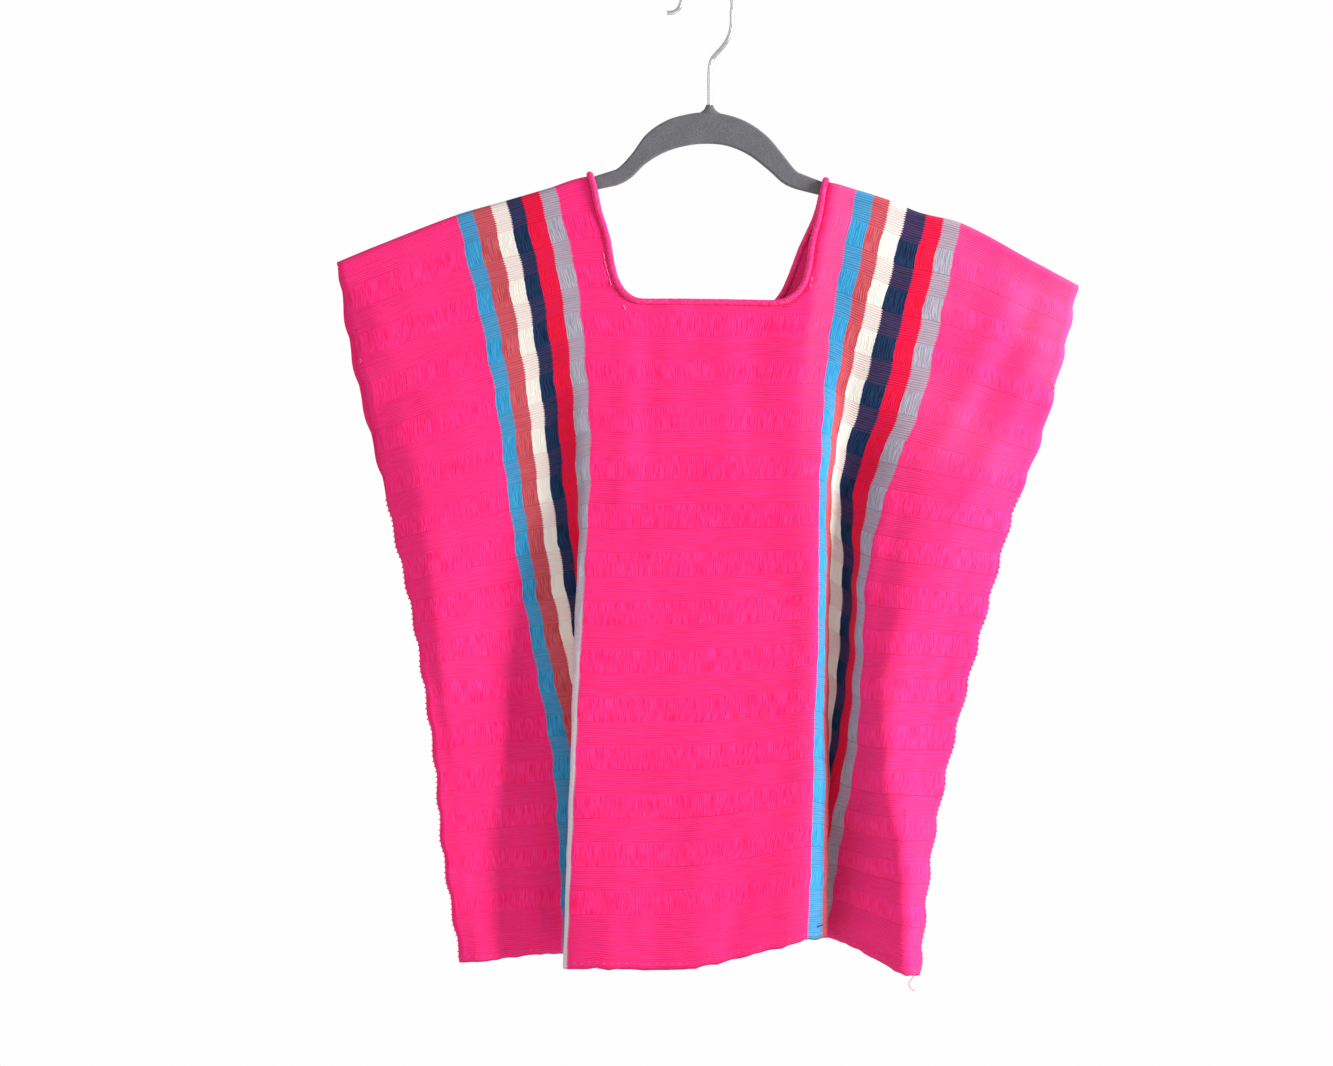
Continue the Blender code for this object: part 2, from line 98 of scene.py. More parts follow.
def light_world():
    """A pale world: what the camera sees is a little brighter than what lights the cloth."""
    world = bpy.data.worlds.new("pale_room")
    world.use_nodes = True
    nodes, links = world.node_tree.nodes, world.node_tree.links
    fill = nodes["Background"]
    fill.inputs["Color"].default_value = (1.0, 0.985, 0.975, 1.0)
    fill.inputs["Strength"].default_value = FILL_STRENGTH
    backdrop = nodes.new("ShaderNodeBackground")
    backdrop.inputs["Color"].default_value = (1.0, 0.99, 0.995, 1.0)
    backdrop.inputs["Strength"].default_value = BACKDROP_STRENGTH
    ray = nodes.new("ShaderNodeLightPath")
    choose = nodes.new("ShaderNodeMixShader")
    links.new(ray.outputs["Is Camera Ray"], choose.inputs[0])
    links.new(fill.outputs[0], choose.inputs[1])
    links.new(backdrop.outputs[0], choose.inputs[2])
    links.new(choose.outputs[0], nodes["World Output"].inputs["Surface"])
    bpy.context.scene.world = world


def add_floor():
    """A plain pale floor, which isn't part of the object."""
    mesh = bpy.data.meshes.new("floor")
    half, z = FLOOR_HALF_WIDTH, FLOOR_HEIGHT
    square = [(-half, -half, z), (half, -half, z), (half, half, z), (-half, half, z)]
    mesh.from_pydata(square, [], [(0, 1, 2, 3)])
    floor = bpy.data.objects.new("floor", mesh)
    bpy.context.scene.collection.objects.link(floor)
    paint = bpy.data.materials.new("pale_floor")
    paint.use_nodes = True
    paint.node_tree.nodes["Principled BSDF"].inputs["Base Color"].default_value = (0.8, 0.79, 0.78, 1.0)
    paint.node_tree.nodes["Principled BSDF"].inputs["Roughness"].default_value = 0.9
    mesh.materials.append(paint)


light_world()
add_floor()
add_area_light("window_right", (2.15, -0.72, 0.1), (0.0, 0.0, -0.5), 0.7, 88.0)
add_area_light("soft_left", (-1.4, -2.1, -0.1), (0.0, 0.0, -0.5), 1.6, 10.0)
bpy.context.scene.view_settings.view_transform = "Standard"

# %% [markdown]
# ## The flat cloth
# A weaver measures the cloth flat: "across" from the left selvedge, and "along" from the shoulder fold,
# negative down the front and positive down the back. The stripes, the woven bands, the neck and the
# stitches all have flat sizes, so everything below is drawn on the flat cloth first and hung afterwards.

# %% Flat sizes, in millimetres
CLOTH_WIDTH = 620.0
HALF_LENGTH = 680.0
HEM_TURN = 8.5
CLOTH_THICKNESS = 0.9
ARMHOLE_DEPTH = 222.0
ARMHOLE_HALF_GAP = 7.5
SEAM_HALF_GAP = 0.55
NECK_LEFT, NECK_RIGHT = 231.0, 386.0
NECK_DEPTH, NECK_CORNER = 104.0, 24.0
STRIPES_LEFT, FOLD_LEFT, CENTRE = 110.0, 197.0, 308.0
STRIPES_RIGHT, FOLD_RIGHT, PANEL_RIGHT = 414.0, 446.0, 508.0
STRIPE_WIDTH = 15.333
FIRST_BAND, BAND_PITCH, CRINKLE_LENGTH, BAND_COUNT = 28.0, 41.7, 21.0, 15
BAR_THICKNESS = 5.0
OVER_BAR = 4.3
QUARTER_TURN = OVER_BAR * math.pi / 2
FREE_OF_BAR = 50.0
print("flat cloth:", CLOTH_WIDTH, "x", 2 * HALF_LENGTH, "mm, and", HEM_TURN, "mm turned in at each hem")

# %% [markdown]
# ## How it hangs
# The hanging shape is a table of named lines at nine heights: the side seam, the side panel's foremost
# line, the stripes' border, the pleat's inner and outer edges, and the centre. It could be simulated,
# but the pressed pleats of a folded blouse come out better when they are placed one by one. The same
# tables shaped the CAD solids, so the dressed cloth lies on them.

# %% The hanging shape
SIDE_COLUMNS = ("down", "seam_x", "seam_y", "seam_z", "crown_across", "crown_x", "crown_y",
                "edge_x", "edge_y", "edge_z", "inner_across", "inner_x", "inner_y",
                "fold_x", "fold_y", "fold_z")
LEFT_ROWS = (
    (0, -320, 0, -243, 35, -289, -5, -218, -5, -202.6, 153, -178, -5, -138, -5, -179.3),
    (80, -303, 0, -317, 35, -271, -9, -199, -8, -279, 155, -158, -8, -120, -8, -255),
    (160, -285, -1, -396, 35, -253, -12, -183, -10, -362, 158, -143, -9, -110, -12, -335),
    (240, -272, -4, -467, 35, -240, -14, -173, -8, -440, 172, -124, -8, -106, -17, -415),
    (320, -256, -7, -536, 35, -227, -16, -162, 0, -518, 184, -106, -7, -110, -20, -494),
    (400, -244, -10, -605, 35, -220, -17, -149, 5, -594, 172, -102, -6, -114, -23, -574),
    (480, -234, -11, -676, 35, -212, -18, -136, 5, -666, 164, -88, -6, -116, -26, -652),
    (560, -228, -12, -744, 35, -206, -19, -130, 3, -737, 161, -86, -6, -119, -28, -731),
    (680, -212, -13, -845, 35, -190, -21, -126, 8, -841, 154, -83, -6, -123, -30, -847),
)
RIGHT_ROWS = (
    (0, 321, 0, -263, 575, 281, -5, 221, -5, -209.6, 470, 183, -5, 159, -5, -189.8),
    (80, 307, 0, -323, 575, 266, -9, 204, -9, -286, 470, 163, -9, 140, -9, -268),
    (160, 288, 0, -395, 575, 247, -14, 186, -13, -364, 470, 145, -10, 122, -8, -347),
    (240, 263, -2, -463, 572, 218, -19, 156, -13, -442, 470, 123, 5, 109, 0, -422),
    (320, 244, -4, -532, 556, 184, -24, 138, -14, -517, 468, 123, 8, 107, 3, -497),
    (400, 226, -7, -600, 530, 152, -25, 134, -14, -596, 468, 119, 9, 105, 1, -574),
    (480, 207, -9, -677, 544, 153, -33, 129, -8, -671, 466, 108, 9, 105, -2, -650),
    (560, 193, -12, -750, 578, 163, -42, 118, 5, -741, 466, 91, 1, 104, -9, -722),
    (680, 182, -16, -856, 600, 167, -42, 105, 8, -826, 478, 78, -2, 102, -14, -824),
)
MIDDLE_COLUMNS = ("down", "centre_y", "centre_z", "right_x", "right_y", "right_z",
                  "spread_left", "spread_right")
MIDDLE_ROWS = (
    (0, -5, -158, 129, -5, -180.2, -7, 10),
    (80, -9, -254, 113, -9, -258, 2, 4),
    (160, -13, -334, 102, -14, -336, 0, 0),
    (240, -18, -414, 97, -19, -414, 0, 0),
    (320, -22, -493, 95, -23, -490, 0, 0),
    (400, -26, -572, 94, -27, -567, 0, 0),
    (480, -30, -651, 91, -30, -642, 0, 0),
    (560, -34, -729, 89, -34, -715, 0, 0),
    (680, -40, -846, 85, -38, -822, 0, 0),
)
NECK_RIGHT_HEIGHT = 0.7
BACK_FOLDS, BACK_SET, BACK_CROWN_SET, BACK_SET_DEPTH = 0.72, 18.0, 0.35, 320.0
BACK_PLEAT_SHIFT, BACK_ARMHOLE_SHIFT, BACK_HEM_RISE = 7.0, -7.0, 5.0
BACK_NECK_LEAN, BACK_NECK_DROP = -17.0, 0.45
LEAN_START, LEAN_FULL, LEAN_END = 10.0, 95.0, 280.0
FOLD_CREEP, CREEP_START, CREEP_END = 4.0, 240.0, 400.0
PLEAT_SWELL, PLEAT_REACH, FULL_PLEAT = 0.45, 18.0, 12.0


def smooth(keys, values, at):
    """A smooth curve through the values at the keys, cubic, with slopes taken from the neighbours."""
    last = len(keys) - 1
    at = min(max(at, keys[0]), keys[last])
    i = min(max(bisect.bisect_right(keys, at) - 1, 0), last - 1)
    before, after = max(i - 1, 0), min(i + 2, last)
    span = keys[i + 1] - keys[i]
    slope_start = (values[i + 1] - values[before]) / (keys[i + 1] - keys[before])
    slope_end = (values[after] - values[i]) / (keys[after] - keys[i])
    u = (at - keys[i]) / span
    ease = u * u * (3 - 2 * u)
    bend = u * (1 - u) * span * ((1 - u) * slope_start - u * slope_end)
    return values[i] * (1 - ease) + values[i + 1] * ease + bend


def ease_in(value):
    """Goes gently from 0 to 1 as the value goes from 0 to 1."""
    value = min(max(value, 0.0), 1.0)
    return value * value * (3 - 2 * value)


def between(start, end, share):
    return start + (end - start) * share


def row_at(rows, columns, down):
    """A table's columns by name, at one distance down."""
    downs = [row[0] for row in rows]
    return {name: smooth(downs, [row[i] for row in rows], down) for i, name in enumerate(columns)}


def armhole_half_gap(down):
    """Half the opening between the selvedges, which meet where the side seam starts."""
    if down >= ARMHOLE_DEPTH:
        return SEAM_HALF_GAP
    return SEAM_HALF_GAP + ARMHOLE_HALF_GAP * math.sin(math.pi * down / ARMHOLE_DEPTH)


def back_neck_lean(across, down):
    """How far the back leans aside round its neck."""
    over = ease_in((across - FOLD_LEFT) / (NECK_RIGHT - FOLD_LEFT))
    over *= 1 - ease_in((across - NECK_RIGHT) / (PANEL_RIGHT - NECK_RIGHT))
    along = ease_in((down - LEAN_START) / (LEAN_FULL - LEAN_START))
    along *= 1 - ease_in((down - LEAN_FULL) / (LEAN_END - LEAN_FULL))
    return BACK_NECK_LEAN * over * along


def to_the_back(point, down, seams):
    """Turns one named point of the front into the back's, with shallower folds set back."""
    across, x, y, z = point
    set_back = BACK_SET * ease_in(down / BACK_SET_DEPTH)
    lean = 0.0
    if across in seams:
        lean = BACK_FOLDS * seams[across]
        set_back *= BACK_CROWN_SET
    way = 1 if across < CENTRE else -1
    shift = 0.0 if across in seams else way * BACK_PLEAT_SHIFT * down / HALF_LENGTH
    rise = BACK_HEM_RISE * down / HALF_LENGTH if STRIPES_LEFT < across < PANEL_RIGHT else 0.0
    aside = back_neck_lean(across, down)
    return across, x + shift + aside, -BACK_FOLDS * y + set_back + lean, z + rise + BACK_NECK_DROP * aside


@functools.lru_cache(maxsize=None)
def hanging_section(along):
    """The cloth at one distance along: its named points' places across, and their x, y and z."""
    down, back = abs(along), along > 0
    left = row_at(LEFT_ROWS, SIDE_COLUMNS, down)
    right = row_at(RIGHT_ROWS, SIDE_COLUMNS, down)
    middle = row_at(MIDDLE_ROWS, MIDDLE_COLUMNS, down)
    across_middle = (middle["right_x"] - left["fold_x"]) / (STRIPES_RIGHT - FOLD_LEFT)
    neck_left_x = left["fold_x"] + across_middle * (NECK_LEFT - FOLD_LEFT) + middle["spread_left"]
    neck_right_x = left["fold_x"] + across_middle * (NECK_RIGHT - FOLD_LEFT) + middle["spread_right"]
    centre_x = left["fold_x"] + across_middle * (CENTRE - FOLD_LEFT)
    fold_left = FOLD_LEFT - FOLD_CREEP * ease_in((down - CREEP_START) / (CREEP_END - CREEP_START))
    points = [
        (left["crown_across"], left["crown_x"], left["crown_y"],
         between(left["seam_z"], left["edge_z"], left["crown_across"] / STRIPES_LEFT)),
        (STRIPES_LEFT, left["edge_x"], left["edge_y"], left["edge_z"]),
        (left["inner_across"], left["inner_x"], left["inner_y"], (left["edge_z"] + left["fold_z"]) / 2),
        (fold_left, left["fold_x"], left["fold_y"], left["fold_z"]),
        (NECK_LEFT, neck_left_x, (left["fold_y"] + 2 * middle["centre_y"]) / 3,
         (left["fold_z"] + middle["centre_z"]) / 2),
        (CENTRE, centre_x, middle["centre_y"], middle["centre_z"]),
        (NECK_RIGHT, neck_right_x, (middle["right_y"] + middle["centre_y"]) / 2,
         between(middle["centre_z"], middle["right_z"], NECK_RIGHT_HEIGHT)),
        (STRIPES_RIGHT, middle["right_x"], middle["right_y"], middle["right_z"]),
        (FOLD_RIGHT, right["fold_x"], right["fold_y"], right["fold_z"]),
        (right["inner_across"], right["inner_x"], right["inner_y"], (right["edge_z"] + right["fold_z"]) / 2),
        (PANEL_RIGHT, right["edge_x"], right["edge_y"], right["edge_z"]),
        (right["crown_across"], right["crown_x"], right["crown_y"],
         between(right["seam_z"], right["edge_z"],
                 (CLOTH_WIDTH - right["crown_across"]) / (CLOTH_WIDTH - PANEL_RIGHT))),
    ]
    gap, drift = -armhole_half_gap(down), 0.0
    if back:
        seams = {left["crown_across"]: left["seam_y"], right["crown_across"]: right["seam_y"]}
        points = [to_the_back(point, down, seams) for point in points]
        gap = -gap
        drift = BACK_ARMHOLE_SHIFT * math.sin(math.pi * min(down / ARMHOLE_DEPTH, 1.0))
    points = ([(0.0, left["seam_x"] + drift, left["seam_y"] + gap, left["seam_z"])] + points
              + [(CLOTH_WIDTH, right["seam_x"] + drift, right["seam_y"] + gap, right["seam_z"])])
    pleats = ((left["inner_across"], 1, left["inner_x"] - max(left["fold_x"], left["edge_x"])),
              (right["inner_across"], -1, min(right["fold_x"], right["edge_x"]) - right["inner_x"]))
    return tuple(zip(*points)), pleats


def pleat_swell(across, pleats):
    """The cloth swells beside a pleat's inner edge, so that the edge turns round."""
    swell = 0.0
    for inner_across, way, overlap in pleats:
        aside = (across - inner_across) / PLEAT_REACH
        if abs(aside) < 1:
            size = way * ease_in(overlap / FULL_PLEAT) * PLEAT_SWELL * PLEAT_REACH
            swell += size * aside * (1 - aside**2)**2
    return swell


def hang(across, along):
    """Where a point of the flat cloth hangs in the air, in millimetres."""
    (keys, xs, ys, zs), pleats = hanging_section(along)
    x, y, z = smooth(keys, xs, across), smooth(keys, ys, across), smooth(keys, zs, across)
    front, down = (1 if along > 0 else -1), abs(along)
    y += front * pleat_swell(across, pleats)
    if down <= QUARTER_TURN:
        turn = down / OVER_BAR
        (keys, _, _, ridge_zs), _ = hanging_section(0.0)
        ridge_z = smooth(keys, ridge_zs, across)
        return Vector((x, front * OVER_BAR * math.sin(turn), ridge_z - OVER_BAR * (1 - math.cos(turn))))
    free = ease_in((down - QUARTER_TURN) / FREE_OF_BAR)
    saved = (QUARTER_TURN - OVER_BAR) * (1 - free)
    return Vector((x, front * OVER_BAR * (1 - free) + y * free, z + saved))


print("the front hem's middle hangs at", [round(v) for v in hang(CENTRE, -HALF_LENGTH)], "mm")

# %% [markdown]
# ## Creases, puckers and scallops
# Handwoven cloth is never flat. Soft ridges and troughs are listed one by one, each a line on the flat
# cloth with a width and a height. The crinkled bands puff up between the plain ones, and every band
# nips the selvedge, which gives its scalloped edge. The hidden back gets similar, not equal, creases.

# %% Creases and puckers
# Each crease: across and along of its two ends, its half width and its height, all in millimetres
FRONT_CREASES = (
    (36, -60, 36, -290, 24, 1.4), (33, -390, 32, -700, 30, -7.0), (108, -370, 72, -560, 22, -5.0),
    (72, -540, 66, -700, 27, -8.0), (99, -360, 44, -565, 6, 1.8), (22, -240, 26, -450, 8, 1.3),
    (12, -30, 74, -200, 12, 1.6), (52, -14, 98, -260, 13, 1.5), (34, -60, 60, -330, 11, -0.7),
    (84, -560, 92, -690, 7, 1.5), (104, -600, 108, -690, 6, -1.2),
    (240, -112, 231, -330, 12, 2.0), (262, -108, 254, -260, 8, -1.2), (380, -112, 390, -330, 12, 1.8),
    (352, -108, 349, -240, 9, -1.1), (299, -108, 296, -200, 10, -0.9), (326, -108, 330, -215, 9, 1.0),
    (222, -420, 226, -690, 12, 1.0), (243, -560, 238, -690, 11, 1.6), (276, -600, 280, -690, 9, -1.4),
    (314, -540, 320, -690, 13, 1.5), (352, -600, 347, -690, 9, -1.3), (388, -560, 392, -690, 10, 1.2),
    (340, -300, 300, -520, 20, 0.9), (270, -330, 262, -540, 16, -0.8),
    (546, -300, 538, -690, 12, 1.9), (588, -250, 592, -540, 8, -1.3), (562, -26, 528, -220, 12, 2.2),
    (602, -40, 574, -240, 10, 2.0), (584, -30, 552, -180, 8, -2.0), (524, -230, 520, -420, 8, -1.0),
    (600, -520, 596, -690, 8, 1.3), (566, -560, 570, -690, 9, -1.3),
)
BACK_CREASES = (
    (58, 380, 44, 690, 12, 1.7), (90, 260, 84, 560, 10, -1.4), (14, 30, 70, 210, 12, 1.5),
    (50, 14, 92, 240, 13, 1.4), (244, 112, 236, 360, 12, 1.8), (376, 112, 388, 320, 12, 1.7),
    (300, 108, 304, 230, 11, -1.0), (330, 108, 322, 260, 10, 1.0), (250, 540, 246, 690, 11, 1.5),
    (290, 580, 296, 690, 10, -1.4), (330, 520, 336, 690, 13, 1.5), (372, 590, 366, 690, 9, -1.3),
    (300, 300, 330, 520, 22, 0.9), (548, 320, 540, 690, 12, 1.8), (586, 270, 590, 560, 8, -1.3),
    (560, 26, 526, 240, 12, 1.5), (600, 40, 576, 230, 10, 1.3), (596, 540, 600, 690, 8, 1.3),
)
PUFF, NIP, EDGE_OF_BAND = 0.5, 0.12, 1.4
UNEVEN, UNEVEN_SIZE = 1.5, 62.0
SWAY, SCALLOP, SCALLOP_REACH = 0.7, 1.1, 8.0
PRESSED_FOLDS, PRESSED_REACH, PRESSED_START = (197.0, 418.0, 434.0), 9.0, 240.0
HEM_LIFT, HEM_ROUNDING = 1.15, 1.5
HEM_WAVE, HEM_WAVE_SIZE, HEM_WAVE_REACH = 2.2, 11.0, 45.0
NECK_RIDGE, NECK_RIDGE_AT, NECK_RIDGE_WIDTH = 0.55, 4.2, 1.6


def neck_distance(across, down):
    """How far a flat point lies outside the neck's cut edge, negative inside the hole."""
    half_width = (NECK_RIGHT - NECK_LEFT) / 2 - NECK_CORNER
    aside = abs(across - (NECK_LEFT + NECK_RIGHT) / 2) - half_width
    below = down - (NECK_DEPTH - NECK_CORNER)
    outside = math.hypot(max(aside, 0.0), max(below, 0.0))
    return outside + min(max(aside, below), 0.0) - NECK_CORNER


def crease_height(across, along):
    """The sum of the hand placed creases at a point."""
    height = 0.0
    for a0, s0, a1, s1, width, size in (FRONT_CREASES if along < 0 else BACK_CREASES):
        da, ds = a1 - a0, s1 - s0
        share = ((across - a0) * da + (along - s0) * ds) / (da * da + ds * ds)
        if -0.2 < share < 1.2:
            aside = math.hypot(across - a0 - da * share, along - s0 - ds * share) / width
            if aside < 3:
                fade = ease_in((share + 0.2) / 0.45) * ease_in((1.2 - share) / 0.45)
                height += size * fade * math.exp(-aside * aside)
    return height


def band_phase(down):
    """How far a point is into its band pair, in millimetres, or None outside the banded cloth."""
    if not FIRST_BAND <= down < FIRST_BAND + BAND_PITCH * BAND_COUNT:
        return None
    return (down - FIRST_BAND) % BAND_PITCH


def band_height(across, down):
    """Crinkled bands puff up, and the cloth is nipped where one band changes to the other."""
    phase = band_phase(down)
    if phase is None:
        return 0.0
    inside = min(phase, CRINKLE_LENGTH - phase)
    nip = min(abs(phase - CRINKLE_LENGTH), phase, BAND_PITCH - phase) / EDGE_OF_BAND
    swell = PUFF * ease_in(inside / 5.0) * (0.55 + 0.9 * noise.noise(Vector((across / 26, down / 21, 3.0))))
    return swell - NIP * math.exp(-nip * nip)


def relief(across, along):
    """How far the cloth stands out from its smooth hanging shape."""
    down = abs(along)
    edge = ease_in(min(across, CLOTH_WIDTH - across) / 14.0) * ease_in((down - 6.0) / 30.0)
    side = 0.0 if along < 0 else 40.0
    uneven = UNEVEN * noise.noise(Vector((across / UNEVEN_SIZE, down / UNEVEN_SIZE, side)))
    left_pleat = FOLD_LEFT - 55 < across < FOLD_LEFT + 8
    right_pleat = FOLD_RIGHT - 8 < across < PANEL_RIGHT
    in_pleat = 0.5 if left_pleat or right_pleat else 1.0
    ridge = (neck_distance(across, down) - NECK_RIDGE_AT) / NECK_RIDGE_WIDTH
    by_neck = NECK_RIDGE * math.exp(-ridge * ridge) if abs(ridge) < 3 else 0.0
    return edge * (in_pleat * (crease_height(across, along) + band_height(across, down) + uneven) + by_neck)


def hem_wave(across, along):
    """The hem's edge runs unevenly up and down, more to the right."""
    near = ease_in((abs(along) - HALF_LENGTH + HEM_WAVE_REACH) / HEM_WAVE_REACH)
    side = 0.0 if along < 0 else 30.0
    wave = noise.noise(Vector((across / HEM_WAVE_SIZE, side, 1.0)))
    return HEM_WAVE * near * wave * (0.6 + 0.4 * across / CLOTH_WIDTH)


def pressed(across, down):
    """From 0 to 1 at the two pleats' outer edges, which are pressed straight."""
    near = max(math.exp(-((across - edge) / PRESSED_REACH) ** 2) for edge in PRESSED_FOLDS)
    return near * ease_in((down - PRESSED_START) / 80.0)


def sideways(across, along):
    """Each band sways a little, and the selvedges bulge between the nips."""
    down = abs(along)
    turn = math.pi * (down - FIRST_BAND) / BAND_PITCH
    sway = SWAY * math.sin(2 * turn + 0.02 * across)
    bulge = SCALLOP * (1.5 * abs(math.sin(turn)) - 0.9) * ease_in(down / 20.0)
    left, right = math.exp(-across / SCALLOP_REACH), math.exp(-(CLOTH_WIDTH - across) / SCALLOP_REACH)
    return sway * (1 - pressed(across, down)) * ease_in(down / 20.0) + bulge * (right - left)


def outward(across, along):
    """The direction that points out of the blouse, square to the smooth hanging shape."""
    across_way = hang(min(across + 1.5, CLOTH_WIDTH), along) - hang(max(across - 1.5, 0.0), along)
    along_way = hang(across, min(along + 1.5, HALF_LENGTH)) - hang(across, max(along - 1.5, -HALF_LENGTH))
    return across_way.cross(along_way).normalized()


def cloth_point(across, along, lift=0.0):
    """A point of the finished cloth, in metres. Past the hem's edge it turns up inside."""
    way = 1 if along > 0 else -1
    past = max(abs(along) - HALF_LENGTH, 0.0)
    along = way * (abs(along) - 2 * past)
    out = outward(across, along)
    height = relief(across, along) + lift - HEM_LIFT * ease_in(past / HEM_ROUNDING)
    place = hang(across, along) + out * height
    place.x += sideways(across, along)
    place.z += hem_wave(across, along)
    return place * MM


print("creases:", len(FRONT_CREASES), "in front and", len(BACK_CREASES), "behind")

# %% [markdown]
# ## The length of cloth
# The cloth is a grid of flat points, fine where the pleats turn tightly and at each change of band. The
# neck's faces are cut out, its corners are moved onto their round, and every point is hung. A Solidify
# modifier gives the cloth its thickness. The UV map keeps the flat place of each point, so that the
# weave can follow the cloth round every fold.

# %% Make the cloth
ACROSS_STEPS = ((0.0, STRIPES_LEFT, 17), (STRIPES_LEFT, 150.0, 12), (150.0, 205.0, 26),
                (205.0, NECK_LEFT, 5), (NECK_LEFT, NECK_RIGHT, 24), (NECK_RIGHT, 436.0, 10),
                (436.0, 500.0, 29), (500.0, 520.0, 5), (520.0, CLOTH_WIDTH, 16))
SHOULDER_DOWNS = (1.7, 3.4, 5.1, QUARTER_TURN, 10.0, 14.5, 19.0, 23.5)
BAND_STEPS = (0.0, 1.6, 6.0, 11.0, 16.0, 19.6, 21.0, 22.6, 28.0, 34.0, 40.0)
HEM_STEPS = 7
HEM_ROWS = (0.7, 2.0, 5.0, HEM_TURN)
UV_NAME = "flat_cloth"
UV_LENGTH = 2 * (HALF_LENGTH + 10.0)


def across_lines():
    lines = [start + (end - start) * step / steps
             for start, end, steps in ACROSS_STEPS for step in range(steps)]
    return lines + [CLOTH_WIDTH]


def along_lines():
    """The distances along, from the front's turned hem over the shoulders to the back's."""
    downs = list(SHOULDER_DOWNS)
    for band in range(BAND_COUNT):
        downs += [FIRST_BAND + band * BAND_PITCH + step for step in BAND_STEPS]
    last = FIRST_BAND + BAND_COUNT * BAND_PITCH
    downs += [between(last, HALF_LENGTH, step / HEM_STEPS) for step in range(HEM_STEPS + 1)]
    downs += [HALF_LENGTH + past for past in HEM_ROWS]
    return [-down for down in reversed(downs)] + [0.0] + downs


def onto_neck_edge(across, along):
    """Moves a flat point of the cut's stepped edge onto the neck's true line."""
    way_along = 1 if along > 0 else -1
    middle = (NECK_LEFT + NECK_RIGHT) / 2
    half_width = (NECK_RIGHT - NECK_LEFT) / 2
    aside, down = across - middle, abs(along)
    corner_aside, corner_down = half_width - NECK_CORNER, NECK_DEPTH - NECK_CORNER
    if abs(aside) > corner_aside and down > corner_down:
        reach = NECK_CORNER / math.hypot(abs(aside) - corner_aside, down - corner_down)
        aside = math.copysign(corner_aside + (abs(aside) - corner_aside) * reach, aside)
        down = corner_down + (down - corner_down) * reach
    elif down > corner_down:
        down = NECK_DEPTH
    return middle + aside, way_along * down


def make_cloth():
    """The whole length of cloth as one thin sheet, with its neck cut and its hems turned in."""
    acrosses, alongs = across_lines(), along_lines()
    columns = len(acrosses)
    flats = [(across, along) for along in alongs for across in acrosses]
    faces = []
    for row in range(len(alongs) - 1):
        middle_down = abs(alongs[row] + alongs[row + 1]) / 2
        for column in range(columns - 1):
            middle_across = (acrosses[column] + acrosses[column + 1]) / 2
            if neck_distance(middle_across, middle_down) > 0:
                first = row * columns + column
                faces.append((first, first + 1, first + columns + 1, first + columns))
    uses = {}
    for face in faces:
        for corner in face:
            uses[corner] = uses.get(corner, 0) + 1
    used = sorted(uses)
    number = {corner: i for i, corner in enumerate(used)}
    places = []
    for corner in used:
        across, along = flats[corner]
        near_neck = NECK_LEFT <= across <= NECK_RIGHT and abs(along) < NECK_DEPTH + 8
        if uses[corner] < 4 and near_neck:
            across, along = onto_neck_edge(across, along)
            flats[corner] = (across, along)
        places.append(cloth_point(across, along))
    mesh = bpy.data.meshes.new("huipil_cloth")
    mesh.from_pydata(places, [], [[number[corner] for corner in face] for face in faces])
    uv = mesh.uv_layers.new(name=UV_NAME)
    for loop in mesh.loops:
        across, along = flats[used[loop.vertex_index]]
        uv.data[loop.index].uv = (across / CLOTH_WIDTH, along / UV_LENGTH + 0.5)
    mesh.shade_smooth()
    cloth = bpy.data.objects.new("huipil_cloth", mesh)
    bpy.context.scene.collection.objects.link(cloth)
    wall = cloth.modifiers.new("cloth_thickness", "SOLIDIFY")
    wall.thickness = CLOTH_THICKNESS * MM
    wall.offset = 0.0
    return cloth


cloth = make_cloth()
print("cloth:", len(cloth.data.vertices), "points,", len(cloth.data.polygons), "faces")

# %% [markdown]
# ## Helpers for finishes
# Every finish is built from nodes in the script. A small class keeps the node code short: each method
# adds one node, joins its inputs and returns its output.

# %% Node helpers
def from_screen(red, green, blue):
    """A colour as a screen shows it, from 0 to 255, turned into the linear light the shader needs."""
    parts = [value / 255 for value in (red, green, blue)]
    return tuple(v / 12.92 if v <= 0.04045 else ((v + 0.055) / 1.055) ** 2.4 for v in parts) + (1.0,)


def add_node(tree, kind, inputs, **settings):
    """Adds a node to a tree. Each input is a plain value or another node's socket."""
    made = tree.nodes.new(kind)
    for name, value in settings.items():
        setattr(made, name, value)
    for socket, value in inputs.items():
        if isinstance(value, bpy.types.NodeSocket):
            tree.links.new(value, made.inputs[socket])
        elif value is not None:
            made.inputs[socket].default_value = value
    return made


